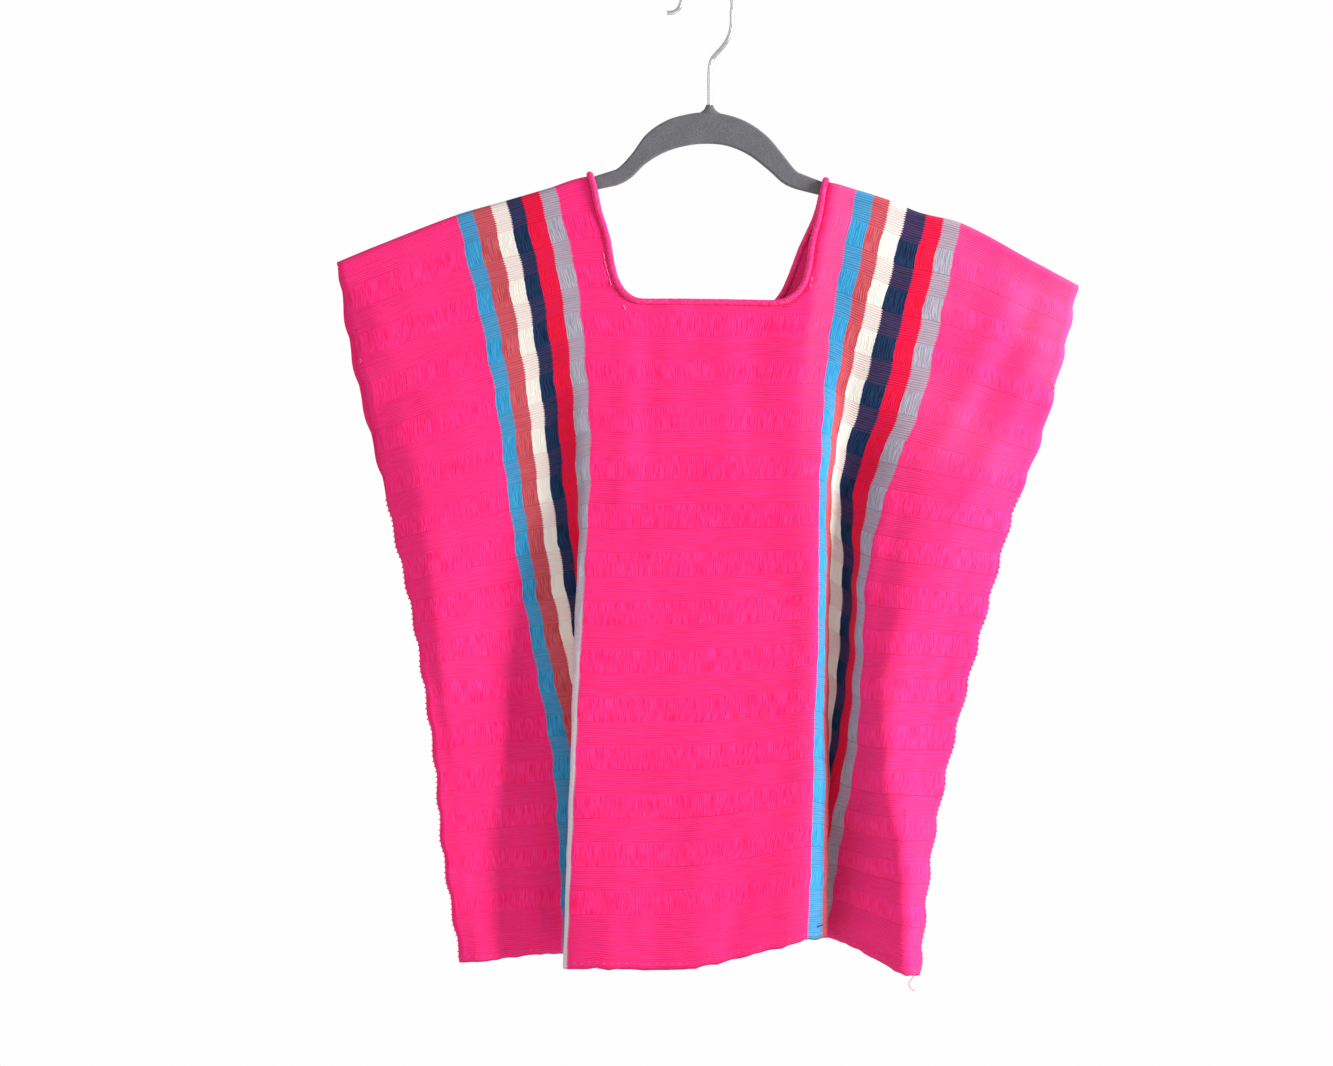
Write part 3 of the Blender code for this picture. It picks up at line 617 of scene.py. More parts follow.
class Finish:
    """One material and the nodes that make it."""

    def __init__(self, name, **constants):
        self.material = bpy.data.materials.new(name)
        self.material.use_nodes = True
        self.tree = self.material.node_tree
        self.links = self.tree.links
        self.shader = self.tree.nodes["Principled BSDF"]
        for socket, value in constants.items():
            self.shader.inputs[socket.replace("_", " ")].default_value = value

    def node(self, kind, inputs, **settings):
        return add_node(self.tree, kind, inputs, **settings)

    def math(self, operation, *values, clamp=False):
        inputs = dict(enumerate(values))
        return self.node("ShaderNodeMath", inputs, operation=operation, use_clamp=clamp).outputs[0]

    def times(self, first, second):
        return self.math("MULTIPLY", first, second)

    def plus(self, first, second):
        return self.math("ADD", first, second)

    def minus(self, first, second):
        return self.math("SUBTRACT", first, second)

    def scaled(self, value, by, add):
        return self.math("MULTIPLY_ADD", value, by, add)

    def mix(self, share, first, second, blend="MIX"):
        inputs = {"Factor": share, 6: first, 7: second}
        return self.node("ShaderNodeMix", inputs, data_type="RGBA", blend_type=blend).outputs[2]

    def vector(self, x, y, z=0.0):
        return self.node("ShaderNodeCombineXYZ", {0: x, 1: y, 2: z}).outputs[0]

    def noise(self, vector, scale=1.0, detail=2.0, roughness=0.5):
        inputs = {"Vector": vector, "Scale": scale, "Detail": detail, "Roughness": roughness}
        return self.node("ShaderNodeTexNoise", inputs).outputs[0]

    def stretch(self, value, low, high, to_low=0.0, to_high=1.0):
        inputs = {0: value, 1: low, 2: high, 3: to_low, 4: to_high}
        return self.node("ShaderNodeMapRange", inputs, clamp=True, interpolation_type="SMOOTHSTEP").outputs[0]

    def ramp(self, value, stops):
        made = self.node("ShaderNodeValToRGB", {0: value})
        made.color_ramp.interpolation = "CONSTANT"
        elements = made.color_ramp.elements
        elements.remove(elements[1])
        elements[0].position, elements[0].color = stops[0]
        for position, colour in stops[1:]:
            elements.new(position).color = colour
        return made.outputs[0]

    def bump(self, height, distance, strength=1.0):
        normal = self.node("ShaderNodeBump", {"Height": height, "Distance": distance, "Strength": strength})
        self.links.new(normal.outputs[0], self.shader.inputs["Normal"])

    def colour(self, socket):
        self.links.new(socket, self.shader.inputs["Base Color"])


print("helpers ready")

# %% [markdown]
# ## The weave
# The warp is bright pink with two groups of six coloured stripes. Along the cloth, crinkled bands, where
# loose warp threads run in wavy lines, take turns with plain bands, where the pink weft shows between
# the warp threads as fine ribs. An image would be the quick way, but a drawn weave stays sharp at any
# size, and it follows the flat cloth through the UV map.

# %% The weave's finish
PINK = from_screen(251, 52, 137)
WEFT_PINK = from_screen(178, 18, 84)
BLUE = from_screen(64, 160, 204)
ROSE = from_screen(200, 92, 102)
CREAM = from_screen(234, 230, 221)
NAVY = from_screen(22, 54, 92)
RED = from_screen(228, 12, 72)
LILAC = from_screen(174, 169, 183)
# Painted light: a paler pink for the glare on the right side, painted on the right panel and beside the neck
PAINTED_GLARE_PINK = from_screen(255, 112, 176)
# Painted highlight: a pale colour for the left pleat's rolled fold edge, where it catches the light
PAINTED_FOLD_HIGHLIGHT = from_screen(236, 216, 226)
STRIPE_COLOURS = (BLUE, ROSE, CREAM, NAVY, RED, LILAC)
THREAD_PITCH, RIB_PITCH = 1.05, 2.0
WEFT_SHOWS = 0.06
WEFT_TINT = (1.0, 0.93, 0.95, 1.0)
WEAVE_BUMP = 0.0014
BAND_WOBBLE, BAND_EDGE = 2.4, 0.7
WANDER, PLAIN_WANDER, TEETH, JOG = 2.6, 0.6, 0.7, 0.9
LINE_SHADE, LINE_DIP = 0.4, 0.2
DEEP_GAMMA = 1.45


def stripe_stops():
    """Where each colour of the warp starts, as a share of the cloth's width."""
    stops = [(0.0, PINK)]
    for first in (STRIPES_LEFT, STRIPES_RIGHT):
        for i, colour in enumerate(STRIPE_COLOURS):
            stops.append(((first + i * STRIPE_WIDTH) / CLOTH_WIDTH, colour))
        stops.append(((first + len(STRIPE_COLOURS) * STRIPE_WIDTH) / CLOTH_WIDTH, PINK))
    return stops


def weave_finish():
    """Warp stripes, crinkled and plain bands, and the threads' relief."""
    f = Finish("handwoven_cotton", Roughness=0.88, Sheen_Weight=0.06, Sheen_Roughness=0.5,
               Specular_IOR_Level=0.18)
    flat = f.node("ShaderNodeUVMap", {}, uv_map=UV_NAME).outputs[0]
    apart = f.node("ShaderNodeSeparateXYZ", {0: flat})
    across = f.times(apart.outputs[0], CLOTH_WIDTH)
    along = f.times(f.minus(apart.outputs[1], 0.5), UV_LENGTH)
    down = f.math("ABSOLUTE", along)

    def over_cloth(aside, aside_scale, along_scale, layer, detail):
        """Noise drawn on the flat cloth, with its own size each way."""
        return f.noise(f.vector(f.times(aside, aside_scale), f.times(along, along_scale), layer), 1.0, detail)

    # Where the point lies in its pair of bands
    bend = over_cloth(across, 0.02, 0.02, 0.0, 1.0)
    shifted = f.plus(down, f.scaled(bend, BAND_WOBBLE, -BAND_WOBBLE / 2))
    pairs = f.math("DIVIDE", f.minus(shifted, FIRST_BAND), BAND_PITCH)
    phase = f.times(f.math("FRACT", pairs), BAND_PITCH)
    banded = f.times(f.math("GREATER_THAN", pairs, 0.0), f.math("LESS_THAN", pairs, float(BAND_COUNT)))
    rise = f.stretch(phase, 0.0, BAND_EDGE)
    fall = f.stretch(phase, CRINKLE_LENGTH - BAND_EDGE, CRINKLE_LENGTH, 1.0, 0.0)
    crinkle = f.times(f.times(rise, fall), banded)
    plain = f.minus(1.0, crinkle)

    # The warp threads wander in the crinkled bands, and jog from rib to rib in the plain ones
    wander = over_cloth(across, 0.16, 0.07, 2.0, 2.0)
    jog = over_cloth(across, 0.1, 0.5, 5.0, 1.0)
    rib = f.math("SINE", f.times(shifted, 2 * math.pi / RIB_PITCH))
    wave = f.times(f.minus(wander, 0.5), f.scaled(crinkle, WANDER, PLAIN_WANDER))
    teeth = f.times(f.times(rib, plain), TEETH)
    threads_at = f.plus(f.plus(across, teeth), f.scaled(f.minus(jog, 0.5), JOG, wave))
    warp_colour = f.ramp(f.math("DIVIDE", threads_at, CLOTH_WIDTH), stripe_stops())

    # Thread and rib patterns
    thread = f.math("SINE", f.times(threads_at, 2 * math.pi / THREAD_PITCH))
    streak = over_cloth(threads_at, 0.95, 0.07, 9.0, 2.0)
    rib_patch = over_cloth(across, 0.05, 0.55, 4.0, 2.0)
    patch = over_cloth(across, 0.02, 0.05, 6.0, 1.0)
    line = f.stretch(f.math("ABSOLUTE", f.minus(phase, CRINKLE_LENGTH)), 0.2, 0.8, 1.0, 0.0)
    start_line = f.stretch(f.math("ABSOLUTE", f.minus(phase, BAND_PITCH - 0.6)), 0.2, 0.7, 1.0, 0.0)
    lines = f.times(f.math("MULTIPLY_ADD", start_line, 0.5, line, clamp=True), banded)
    to_the_right = f.stretch(across, 380.0, 560.0, 0.45, 1.0)
    lines = f.times(f.times(lines, f.stretch(patch, 0.35, 0.6, 0.2, 1.0)), to_the_right)

    # Colour: the weft shows in the plain bands, and the band changes are darker. The crinkled bands' streaks,
    # partly the threads' own variation, and the grooves between the plain bands' ribs get painted shade;
    # broad patches vary at random
    rib_shows = f.stretch(f.scaled(rib, 0.3, rib_patch), 0.35, 0.8)
    weft = f.scaled(rib_shows, WEFT_SHOWS, f.stretch(across, 430.0, 462.0, 0.02, 0.065))
    weft = f.times(weft, plain)
    colour = f.mix(weft, warp_colour, WEFT_PINK)
    tint = f.mix(1.0, colour, WEFT_TINT, "MULTIPLY")
    colour = f.mix(plain, colour, tint)
    # Painted shade: a deeper, more saturated pink stands for light bounced between the yarns where streaks
    # and ribs are shaded
    shaded_colour = f.node("ShaderNodeGamma", {"Color": colour, "Gamma": DEEP_GAMMA}).outputs[0]
    pair_of_threads = f.math("SINE", f.times(threads_at, math.pi / THREAD_PITCH))
    fine = f.scaled(pair_of_threads, 0.06, streak)
    shade = f.times(f.stretch(fine, 0.34, 0.64, 0.95, 0.0), crinkle)
    ribs = f.scaled(rib, -0.2, f.stretch(rib_patch, 0.35, 0.6, 0.45, 0.15))
    shade = f.plus(shade, f.times(ribs, plain))
    shade = f.plus(shade, f.times(lines, LINE_SHADE))
    broad_patches = over_cloth(across, 0.012, 0.012, 7.0, 3.0)
    shade = f.plus(shade, f.stretch(broad_patches, 0.35, 0.7, 0.0, 0.14))
    colour = f.mix(shade, colour, shaded_colour)

    # Painted light: the pink is painted paler on the right panel and right of the neck, most at the
    # shoulders, as glare from the right, and the left pleat's pressed fold edge gets a pale painted highlight
    right_panel_glare = f.times(f.stretch(across, 506.0, 507.0), f.stretch(broad_patches, 0.35, 0.65, 0.1, 0.36))
    neck_glare = f.times(f.stretch(across, 388.0, 400.0), f.stretch(across, 413.0, 414.0, 0.35, 0.0))
    high = f.stretch(down, 20.0, 330.0, 1.0, 0.1)
    colour = f.mix(f.times(f.plus(right_panel_glare, neck_glare), high), colour, PAINTED_GLARE_PINK)
    in_front = f.math("LESS_THAN", along, 0.0)
    # Painted highlight on the left pleat's fold edge, in front only, growing paler lower down
    fold_highlight = f.times(f.stretch(across, 192.0, 193.0), f.stretch(across, 202.0, 203.0, 1.0, 0.0))
    fold_highlight = f.times(fold_highlight, f.stretch(down, 300.0, 470.0, 0.0, 0.72))
    colour = f.mix(f.times(fold_highlight, in_front), colour, PAINTED_FOLD_HIGHLIGHT)
    f.colour(colour)

    # Relief
    crinkle_relief = f.scaled(thread, 0.05, f.times(streak, 0.42))
    plain_relief = f.scaled(rib, 0.13, f.times(rib_patch, 0.24))
    height = f.plus(f.times(crinkle_relief, crinkle), f.times(plain_relief, plain))
    height = f.minus(height, f.times(lines, LINE_DIP))
    f.bump(height, WEAVE_BUMP, 0.9)
    return f.material


WEAVE = weave_finish()
cloth.data.materials.append(WEAVE)
print("weave:", len(stripe_stops()), "warp colours across,", BAND_COUNT, "pairs of bands in each half")

# %% [markdown]
# ## The neck binding
# The cut edge is folded over a cord and overcast with close pink stitches, so it reads as a round ribbed
# roll. A plain tube would look like piping. Here a core tube follows the cut edge, and Geometry Nodes
# winds the stitches round it, one tilted ring for each.

# %% Paths and thread trees
BINDING_RADIUS = 2.35
BINDING_INSET = 1.6
BINDING_LIFT = 1.6
NECK_SIDE_DOWNS = (0, 1.2, 2.4, 3.6, 4.8, QUARTER_TURN, 10, 15, 22, 31, 41, 51, 61, 71)
BOW_ROWS = (
    (-79, -162.5, -176.5), (-66, -150, -170), (-53, -132.5, -157.5), (-36, -120.5, -147.5),
    (-18, -114.8, -142), (0, -112.8, -140.2), (18, -115.2, -142.2), (36, -122, -150),
    (53, -134.5, -163), (66, -150, -174.5), (79, -165, -180),
)
BAR_UNDER_FOLD = 1.4
ARM_STEPS = 6


def bar_top_line():
    """The hanger's top edge from end to end, as lists of x and z: its arms lie just under the fold."""
    arms = []
    for start, end in ((STRIPES_LEFT + 2, NECK_LEFT), (NECK_RIGHT, PANEL_RIGHT - 4)):
        spots = [hang(between(start, end, step / ARM_STEPS), 0.0) for step in range(ARM_STEPS + 1)]
        arms.append([(spot.x, spot.z - BAR_UNDER_FOLD) for spot in spots])
    line = arms[0] + [row[:2] for row in BOW_ROWS] + arms[1]
    return [point[0] for point in line], [point[1] for point in line]


BAR_TOP_LINE = bar_top_line()


def binding_point(across, along):
    """A point of the binding: it rides higher over the bar, then follows the cut edge."""
    free = ease_in((abs(along) - QUARTER_TURN) / FREE_OF_BAR)
    return cloth_point(across, along, BINDING_LIFT * (1 - free))


def neck_line(way, inset, corner_steps=8, bottom_steps=18):
    """Flat points round one half of the neck, from the right shoulder to the left."""
    left, right = NECK_LEFT + inset, NECK_RIGHT - inset
    corner, bottom = NECK_CORNER - inset, NECK_DEPTH - inset
    half = [(right, down) for down in NECK_SIDE_DOWNS]
    for step in range(corner_steps + 1):
        angle = math.pi / 2 * step / corner_steps
        half.append((right - corner + corner * math.cos(angle), bottom - corner + corner * math.sin(angle)))
    for step in range(1, bottom_steps // 2 + 1):
        half.append((between(right - corner, left + corner, step / (bottom_steps + 1)), bottom))
    other = [(left + right - across, down) for across, down in reversed(half)]
    return [(across, way * down) for across, down in half + other]


def make_tube(name, points, radius, closed, finish, sides=12):
    """A round tube along a line of points, as a mesh that sits at the origin."""
    curve = bpy.data.curves.new(name, "CURVE")
    curve.dimensions = "3D"
    curve.bevel_depth = radius
    curve.bevel_resolution = sides // 4
    curve.use_fill_caps = not closed
    spline = curve.splines.new("POLY")
    spline.points.add(len(points) - 1)
    for spline_point, point in zip(spline.points, points):
        spline_point.co = (*point, 1.0)
    spline.use_cyclic_u = closed
    line = bpy.data.objects.new(name + "_line", curve)
    bpy.context.scene.collection.objects.link(line)
    mesh = bpy.data.meshes.new_from_object(line.evaluated_get(bpy.context.evaluated_depsgraph_get()))
    bpy.data.objects.remove(line)
    mesh.name = name
    bm = bmesh.new()
    bm.from_mesh(mesh)
    bmesh.ops.remove_doubles(bm, verts=bm.verts, dist=1e-6)
    bmesh.ops.recalc_face_normals(bm, faces=bm.faces)
    bm.to_mesh(mesh)
    bm.free()
    mesh.materials.clear()
    mesh.materials.append(finish)
    mesh.shade_smooth()
    tube = bpy.data.objects.new(name, mesh)
    bpy.context.scene.collection.objects.link(tube)
    return tube


def thread_tree(name, wraps):
    """A node tree that sets stitches along a line: rings wound round it, or short stitches along it."""
    tree = bpy.data.node_groups.new(name, "GeometryNodeTree")
    tree.interface.new_socket("Geometry", in_out="INPUT", socket_type="NodeSocketGeometry")
    for socket, kind in (("Spacing", "Float"), ("Reach", "Float"), ("Thread", "Float"), ("Tilt", "Float"),
                         ("Unevenness", "Float"), ("Seed", "Int"), ("Finish", "Material")):
        tree.interface.new_socket(socket, in_out="INPUT", socket_type="NodeSocket" + kind)
    tree.interface.new_socket("Geometry", in_out="OUTPUT", socket_type="NodeSocketGeometry")
    source, result = tree.nodes.new("NodeGroupInput"), tree.nodes.new("NodeGroupOutput")

    node = functools.partial(add_node, tree)
    given = source.outputs
    line = node("GeometryNodeMeshToCurve", {"Mesh": given["Geometry"]})
    spots = node("GeometryNodeCurveToPoints", {"Curve": line.outputs[0], "Length": given["Spacing"]},
                 mode="LENGTH")
    circle = "GeometryNodeCurvePrimitiveCircle"
    profile = node(circle, {"Resolution": 5, "Radius": given["Thread"]}, mode="RADIUS")
    if wraps:
        path = node(circle, {"Resolution": 10, "Radius": given["Reach"]}, mode="RADIUS")
    else:
        ends = []
        for share in (-0.5, 0.5):
            offset = node("ShaderNodeMath", {0: given["Reach"], 1: share}, operation="MULTIPLY")
            ends.append(node("ShaderNodeCombineXYZ", {2: offset.outputs[0]}).outputs[0])
        path = node("GeometryNodeCurvePrimitiveLine", {"Start": ends[0], "End": ends[1]})
    stitch = node("GeometryNodeCurveToMesh", {"Curve": path.outputs[0], "Profile Curve": profile.outputs[0],
                                              "Fill Caps": True})
    lean = node("ShaderNodeCombineXYZ", {0: given["Tilt"]})
    tilted = node("GeometryNodeTransform", {"Geometry": stitch.outputs[0], "Rotation": lean.outputs[0]})
    least = node("ShaderNodeMath", {0: 1.0, 1: given["Unevenness"]}, operation="SUBTRACT")
    most = node("ShaderNodeMath", {0: 1.0, 1: given["Unevenness"]}, operation="ADD")
    size = node("FunctionNodeRandomValue", {2: least.outputs[0], 3: most.outputs[0], "Seed": given["Seed"]},
                data_type="FLOAT")
    placed = node("GeometryNodeInstanceOnPoints",
                  {"Points": spots.outputs["Points"], "Instance": tilted.outputs[0],
                   "Rotation": spots.outputs["Rotation"], "Scale": size.outputs[1]})
    real = node("GeometryNodeRealizeInstances", {"Geometry": placed.outputs[0]})
    shaded = node("GeometryNodeSetShadeSmooth", {"Geometry": real.outputs[0]})
    painted = node("GeometryNodeSetMaterial", {"Geometry": shaded.outputs[0], "Material": given["Finish"]})
    tree.links.new(painted.outputs[0], result.inputs[0])
    return tree


def sew(name, lines, tree, **sizes):
    """Runs a thread tree along lines of points, and keeps the result as a plain mesh."""
    points, edges = [], []
    for line in lines:
        edges += [(len(points) + i, len(points) + i + 1) for i in range(len(line) - 1)]
        points += line
    mesh = bpy.data.meshes.new(name + "_line")
    mesh.from_pydata(points, edges, [])
    carrier = bpy.data.objects.new(name + "_line", mesh)
    bpy.context.scene.collection.objects.link(carrier)
    modifier = carrier.modifiers.new("thread", "NODES")
    modifier.node_group = tree
    identifiers = {item.name: item.identifier for item in tree.interface.items_tree if item.in_out == "INPUT"}
    for socket, value in sizes.items():
        modifier[identifiers[socket]] = value
    made = bpy.data.meshes.new_from_object(carrier.evaluated_get(bpy.context.evaluated_depsgraph_get()))
    bpy.data.objects.remove(carrier)
    made.name = name
    piece = bpy.data.objects.new(name, made)
    bpy.context.scene.collection.objects.link(piece)
    print(name, len(made.polygons), "faces")
    return piece


def thread_finish(name, colour, light):
    """Cotton thread: a slightly uneven colour and a fine twist."""
    f = Finish(name, Roughness=0.8, Sheen_Weight=0.12, Sheen_Roughness=0.5, Specular_IOR_Level=0.2)
    place = f.node("ShaderNodeTexCoord", {}).outputs["Object"]
    tone = f.noise(place, 420.0, 3.0)
    f.colour(f.mix(f.stretch(tone, 0.35, 0.7), colour, light))
    f.bump(f.noise(place, 2600.0, 2.0), 0.00025, 0.8)
    return f.material


BINDING_THREAD = thread_finish("binding_thread", from_screen(248, 44, 130), from_screen(255, 76, 154))
RINGS = thread_tree("wound_rings", True)
STITCHES = thread_tree("laid_stitches", False)
neck_front = [binding_point(across, along) for across, along in neck_line(-1, BINDING_INSET)]
neck_back = [binding_point(across, along) for across, along in neck_line(1, BINDING_INSET)]
neck_loop = neck_front + neck_back[::-1][1:-1]
binding_core = make_tube("neck_binding_core", neck_loop, BINDING_RADIUS * MM, True, BINDING_THREAD)
binding_wraps = sew("neck_binding_stitches", [neck_loop + neck_loop[:1]], RINGS, Spacing=0.95 * MM,
                    Reach=(BINDING_RADIUS + 0.02) * MM, Thread=0.48 * MM, Tilt=0.3, Unevenness=0.025, Seed=3,
                    Finish=BINDING_THREAD)

# %% [markdown]
# ## Seams and hem
# Below the armholes the two selvedges are drawn together with small overcast stitches. The hem's turned
# edge is held by a line of short stitches 5 mm up. They are the same two thread trees, along lines
# measured on the flat cloth.

# %% Sew the seams and the hem
SEAM_STEP = 6.0


def seam_line(across):
    """The line where the front and back selvedges meet, from the armhole's foot to the hem."""
    points, along = [], ARMHOLE_DEPTH - 4
    while along <= HALF_LENGTH - 2:
        points.append((cloth_point(across, -along) + cloth_point(across, along)) / 2)
        along += SEAM_STEP
    return points


def hem_line(way, start, end, up=5.0, step=4.0):
    """A line on the outside of the cloth, a little above the hem."""
    count = int((end - start) / step)
    return [cloth_point(between(start, end, i / count), way * (HALF_LENGTH - up), CLOTH_THICKNESS / 2)
            for i in range(count + 1)]


SEAM_THREAD = thread_finish("seam_thread", from_screen(238, 20, 106), from_screen(248, 44, 128))
HEM_THREAD = thread_finish("hem_thread", from_screen(252, 66, 142), from_screen(255, 104, 168))
seam_stitches = sew("side_seam_stitches", [seam_line(0.0), seam_line(CLOTH_WIDTH)], RINGS, Spacing=4.6 * MM,
                    Reach=1.35 * MM, Thread=0.3 * MM, Tilt=0.7, Unevenness=0.12, Seed=11, Finish=SEAM_THREAD)
hem_stitches = sew("hem_stitches", [hem_line(-1, 3, 617), hem_line(1, 3, 617)], STITCHES, Spacing=6.4 * MM,
                   Reach=1.9 * MM, Thread=0.24 * MM, Tilt=0.35, Unevenness=0.2, Seed=5, Finish=HEM_THREAD)

# %% [markdown]
# ## Loose threads
# A worn handwoven blouse keeps a few loose ends: a pale thread below the right corner of the hem, small
# loops at the selvedges, pale tacking stitches beside the neck and a few snags. Each is a short thin
# tube placed on the cloth by its flat position.

# %% Loose threads
PALE_THREAD = thread_finish("pale_thread", from_screen(244, 176, 196), from_screen(252, 226, 230))
LOOSE_PINK = thread_finish("loose_pink_thread", from_screen(232, 70, 130), from_screen(240, 120, 160))
DARK_THREAD = thread_finish("dark_thread", from_screen(60, 18, 55), from_screen(90, 24, 70))
SNAG_THREAD = thread_finish("snag_thread", from_screen(176, 20, 84), from_screen(204, 30, 104))
TACKING_THREAD = thread_finish("tacking_thread", from_screen(250, 128, 170), from_screen(254, 170, 196))
THREAD_RADIUS = 0.33 * MM


def loose_thread(name, start, offsets, finish, radius=THREAD_RADIUS):
    """A thread that leaves the cloth at a flat point, and runs through offsets in millimetres."""
    root = cloth_point(*start, CLOTH_THICKNESS / 2)
    keys = list(range(len(offsets) + 1))
    columns = list(zip((0.0, 0.0, 0.0), *offsets))
    steps = len(offsets) * 5
    points = [root + Vector([smooth(keys, column, keys[-1] * i / steps) for column in columns]) * MM
              for i in range(steps + 1)]
    return make_tube(name, points, radius, False, finish, sides=8)


loose_threads = [
    loose_thread("hem_loose_thread", (612, -678),
                 ((-2, -1, -4), (-5, -2, -8), (-4, -2, -12), (0, -1, -15)), LOOSE_PINK),
    loose_thread("left_edge_loop", (1, -92), ((1.5, -2, 1.5), (2.6, -2, 0), (1.4, -2, -2)), LOOSE_PINK),
    loose_thread("right_edge_loop_high", (618, -112), ((2, -1, 2), (3, -1, -1), (0, -1, -4)), PALE_THREAD),
    loose_thread("right_edge_loop_low", (618, -222), ((2, -1, 1), (3, -1, -2), (-1, -1, -4)), PALE_THREAD),
    loose_thread("snag_high", (575, -520), ((1, -1, -4), (0, -0.6, -9)), SNAG_THREAD, 0.2 * MM),
    loose_thread("snag_low", (571, -560), ((0, -1, -3), (1, -0.6, -7)), SNAG_THREAD, 0.2 * MM),
    loose_thread("hem_dark_stitch", (425, -668), ((2, -0.8, 1), (5, -0.6, 2)), DARK_THREAD, 0.5 * MM),
]


def tacking(name, spots, finish):
    """Short pale stitches on the cloth beside the neck."""
    lines = []
    for across, along, length, lean in spots:
        lines.append([cloth_point(across + lean * share, along - length * share, CLOTH_THICKNESS / 2 + 0.25)
                      for share in (0.0, 0.5, 1.0)])
    return sew(name, lines, STITCHES, Spacing=1.0 * MM, Reach=1.2 * MM, Thread=0.32 * MM, Tilt=0.0,
               Unevenness=0.2, Seed=2, Finish=finish)


tacking_stitches = tacking("neck_tacking", ((227.5, -62, 4, 0.3), (227.6, -69, 4, 0.4), (227.8, -76, 5, 0.3),
                                            (228, -84, 4, 0.4), (238, -106, 3, 1.5), (389, -80, 2, 0.2),
                                            (389.5, -86, 2, 0.2)), TACKING_THREAD)
print("loose threads:", len(loose_threads))

# %% [markdown]
# ## The hanger
# The slim hanger is a flat plastic bar with a flocked skin, which catches light at its edges. Its CAD
# solid has few faces, so the bow is drawn again with more points, and the short pile comes from a
# noise bump with a little sheen. The hook's foot flares out of the bar in one smooth line.

# %% The hanger's bar
BAR_HEIGHT, BAR_ROUNDING = 11.5, 2.2
BOW_STEPS, BAR_END_STEPS = 72, 9
BOOT_ROWS = ((-114.5, 10.5, 2.5), (-113.2, 8.4, 2.9), (-111.6, 6.0, 3.3), (-110.0, 4.5, 3.4),
             (-108.4, 3.7, 3.3), (-107.0, 3.2, 3.1), (-106.6, 2.5, 2.5))
BOOT_SIDES = 32
STEM_X = 2.2


def velvet_finish():
    """Grey flock: a very fine uneven pile that goes pale at grazing angles."""
    f = Finish("grey_velvet", Roughness=1.0, Sheen_Weight=0.55, Sheen_Roughness=0.45, Specular_IOR_Level=0.05)
    place = f.node("ShaderNodeTexCoord", {}).outputs["Object"]
    patches, pile = f.noise(place, 60.0, 3.0), f.noise(place, 1500.0, 3.0)
    tone = f.scaled(pile, 0.8, f.times(patches, 0.15))
    f.colour(f.mix(f.stretch(tone, 0.3, 0.65), from_screen(88, 88, 93), from_screen(114, 113, 118)))
    f.bump(pile, 0.0004, 0.7)
    return f.material


def mesh_piece(name, bm, finish):
    mesh = bpy.data.meshes.new(name)
    bmesh.ops.recalc_face_normals(bm, faces=bm.faces)
    bm.to_mesh(mesh)
    bm.free()
    mesh.materials.append(finish)
    mesh.shade_smooth()
    piece = bpy.data.objects.new(name, mesh)
    bpy.context.scene.collection.objects.link(piece)
    return piece


def make_bar(finish):
    """The bar's outline, given its thickness and rounded edges."""
    xs = BAR_TOP_LINE[0]
    bow_heights = {x: top - bottom for x, top, bottom in BOW_ROWS}
    heights = [bow_heights.get(x, BAR_HEIGHT) for x in xs]
    first, last = BOW_ROWS[0][0], BOW_ROWS[-1][0]
    stations = sorted([x for x in xs if not first <= x <= last]
                      + [between(first, last, step / BOW_STEPS) for step in range(BOW_STEPS + 1)])
    top = [(x, smooth(*BAR_TOP_LINE, x)) for x in stations]
    bottom = [(x, z - smooth(xs, heights, x)) for x, z in top]
    outline = list(top)
    for (x, top_z), (_, bottom_z), way in ((top[-1], bottom[-1], 1), (top[0], bottom[0], -1)):
        radius = (top_z - bottom_z) / 2
        turns = [math.pi * (0.5 - step / BAR_END_STEPS) for step in range(1, BAR_END_STEPS)]
        end = [(x + way * radius * math.cos(turn), top_z - radius + radius * math.sin(turn))
               for turn in turns]
        outline += end + bottom[::-1] if way == 1 else end[::-1]
    bm = bmesh.new()
    front = bm.faces.new([bm.verts.new((x * MM, -BAR_THICKNESS / 2 * MM, z * MM)) for x, z in outline])
    grown = bmesh.ops.extrude_face_region(bm, geom=[front])
    moved = [item for item in grown["geom"] if isinstance(item, bmesh.types.BMVert)]
    bmesh.ops.translate(bm, verts=moved, vec=(0, BAR_THICKNESS * MM, 0))
    bar = mesh_piece("hanger_bar_velvet", bm, finish)
    edge = bar.modifiers.new("rounded_edges", "BEVEL")
    edge.width = BAR_ROUNDING * MM
    edge.segments = 4
    edge.limit_method = "ANGLE"
    edge.angle_limit = math.radians(60)
    edge.harden_normals = True
    return bar


def make_boot(finish):
    """The flared foot that holds the hook's wire."""
    bm = bmesh.new()
    rings = []
    for z, half_x, half_y in BOOT_ROWS:
        turns = [2 * math.pi * i / BOOT_SIDES for i in range(BOOT_SIDES)]
        rings.append([bm.verts.new(((STEM_X + half_x * math.cos(t)) * MM, half_y * math.sin(t) * MM, z * MM))
                      for t in turns])
    for low, high in zip(rings, rings[1:]):
        for i in range(BOOT_SIDES):
            bm.faces.new((low[i], low[(i + 1) % BOOT_SIDES], high[(i + 1) % BOOT_SIDES], high[i]))
    bm.faces.new(rings[0])
    bm.faces.new(rings[-1])
    return mesh_piece("hook_foot_velvet", bm, finish)


VELVET = velvet_finish()
bar = make_bar(VELVET)
boot = make_boot(VELVET)
print("bar:", len(bar.data.vertices), "points before its rounding")
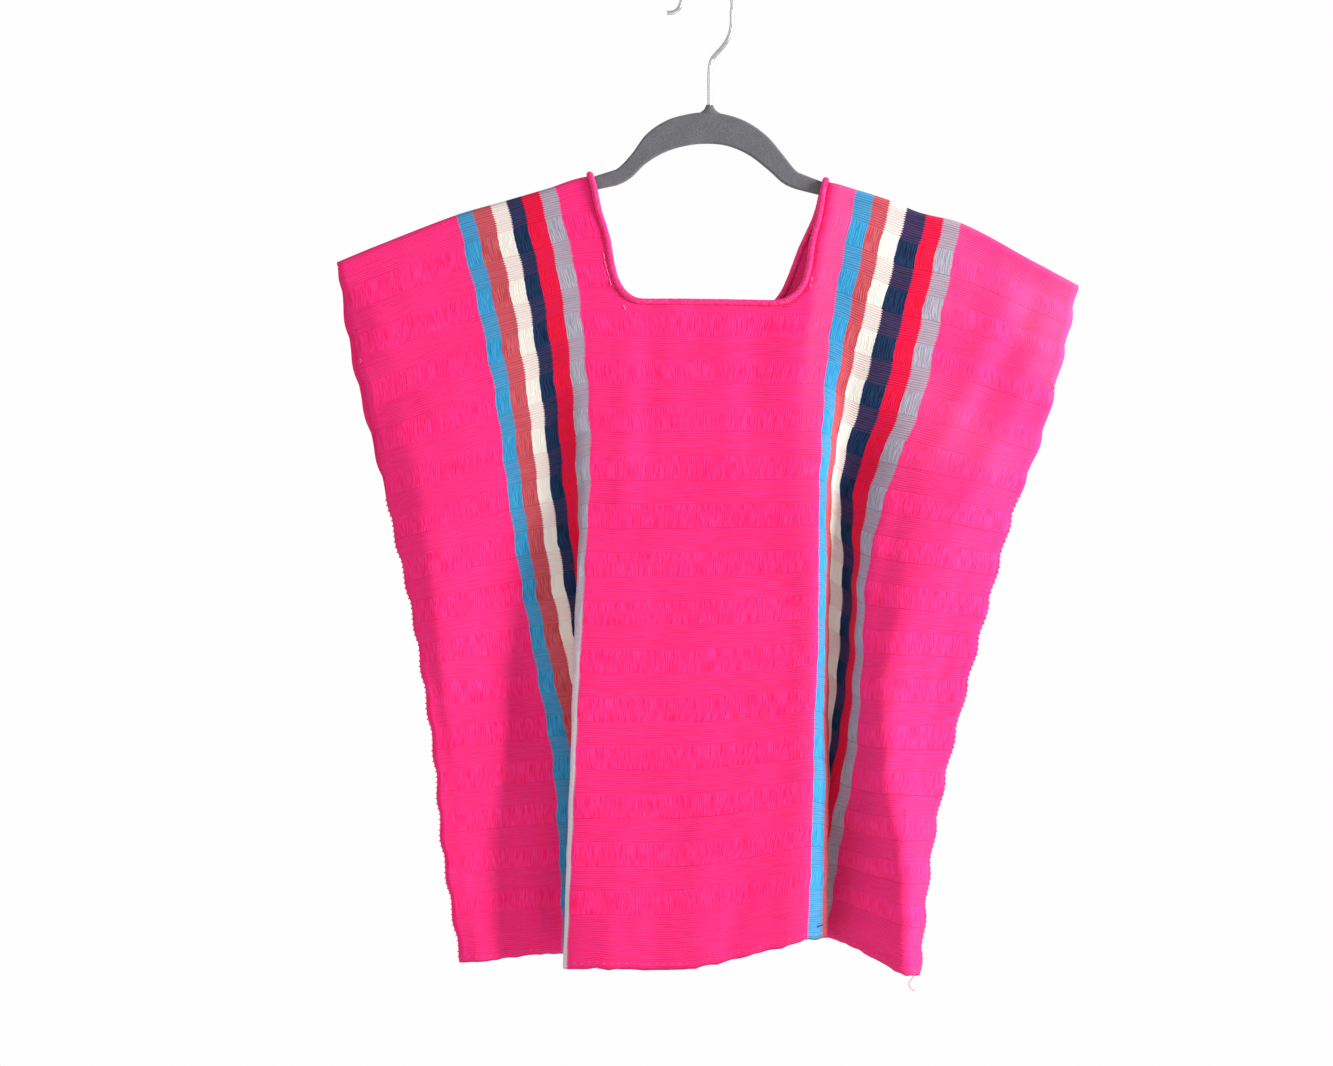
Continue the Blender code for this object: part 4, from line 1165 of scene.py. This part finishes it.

# %% [markdown]
# ## The hook
# The hook is one bent wire, plated bright. The wire's line is a short list of points for the bend and
# the tip, with an arc between them, and its ends are capped flat.

# %% The hook
WIRE_RADIUS, HOOK_RADIUS = 1.9, 22.2
HOOK_CENTRE_Z = WIRE_RADIUS - HOOK_RADIUS
HOOK_START, HOOK_END, HOOK_STEPS = -14.0, 165.0, 40
WIRE_LINE_START = ((2.2, -109.0), (2.2, -95.0), (2.2, -79.0), (3.8, -68.5), (8.0, -62.5), (13.0, -57.0),
                   (17.5, -50.5), (20.3, -43.5), (21.6, -35.0))
WIRE_LINE_END = ((-22.6, -19.5), (-25.2, -24.0), (-29.4, -26.6), (-34.6, -27.0))
BEND_STEPS = 5


def rounded(points, steps):
    """More points on a smooth line through the given ones."""
    keys = list(range(len(points)))
    columns = list(zip(*points))
    count = (len(points) - 1) * steps
    return [tuple(smooth(keys, column, keys[-1] * i / count) for column in columns) for i in range(count + 1)]


def hook_line():
    arc = []
    for step in range(HOOK_STEPS + 1):
        angle = math.radians(between(HOOK_START, HOOK_END, step / HOOK_STEPS))
        arc.append((HOOK_RADIUS * math.cos(angle), HOOK_CENTRE_Z + HOOK_RADIUS * math.sin(angle)))
    start = rounded(WIRE_LINE_START + (arc[0],), BEND_STEPS)[:-1]
    end = rounded((arc[-1],) + WIRE_LINE_END, BEND_STEPS)[1:]
    return [Vector((x, 0.0, z)) * MM for x, z in start + arc + end]


def wire_finish():
    """Bright plating with very faint drawing marks along the wire."""
    f = Finish("bright_wire", Metallic=1.0)
    place = f.node("ShaderNodeTexCoord", {}).outputs["Object"]
    marks = f.noise(place, 900.0, 3.0)
    f.colour(f.mix(marks, from_screen(196, 200, 206), from_screen(232, 234, 238)))
    f.links.new(f.stretch(marks, 0.2, 0.8, 0.2, 0.32), f.shader.inputs["Roughness"])
    return f.material


hook = make_tube("hanger_hook_wire", hook_line(), WIRE_RADIUS * MM, False, wire_finish(), sides=20)
print("hook:", len(hook.data.vertices), "points")

# %% [markdown]
# ## Join it to the body
# Every piece rides on the one body and takes the place of its plain solid, which is hidden.

# %% Ride and replace
for piece, slot_name in ((cloth, "cloth"), (binding_core, "binding"), (binding_wraps, "binding"),
                         (seam_stitches, "cloth"), (hem_stitches, "cloth"), (tacking_stitches, "cloth"),
                         (bar, "hanger_velvet"), (boot, "hanger_velvet"), (hook, "hook_wire")):
    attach(piece, "root")
for piece in loose_threads:
    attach(piece, "root")
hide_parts("cloth_front", "cloth_back")
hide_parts("neck_binding")
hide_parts("hanger_bar")
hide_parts("hook_collar")
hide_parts("hanger_hook")

# %% Update the scene
bpy.context.view_layer.update()
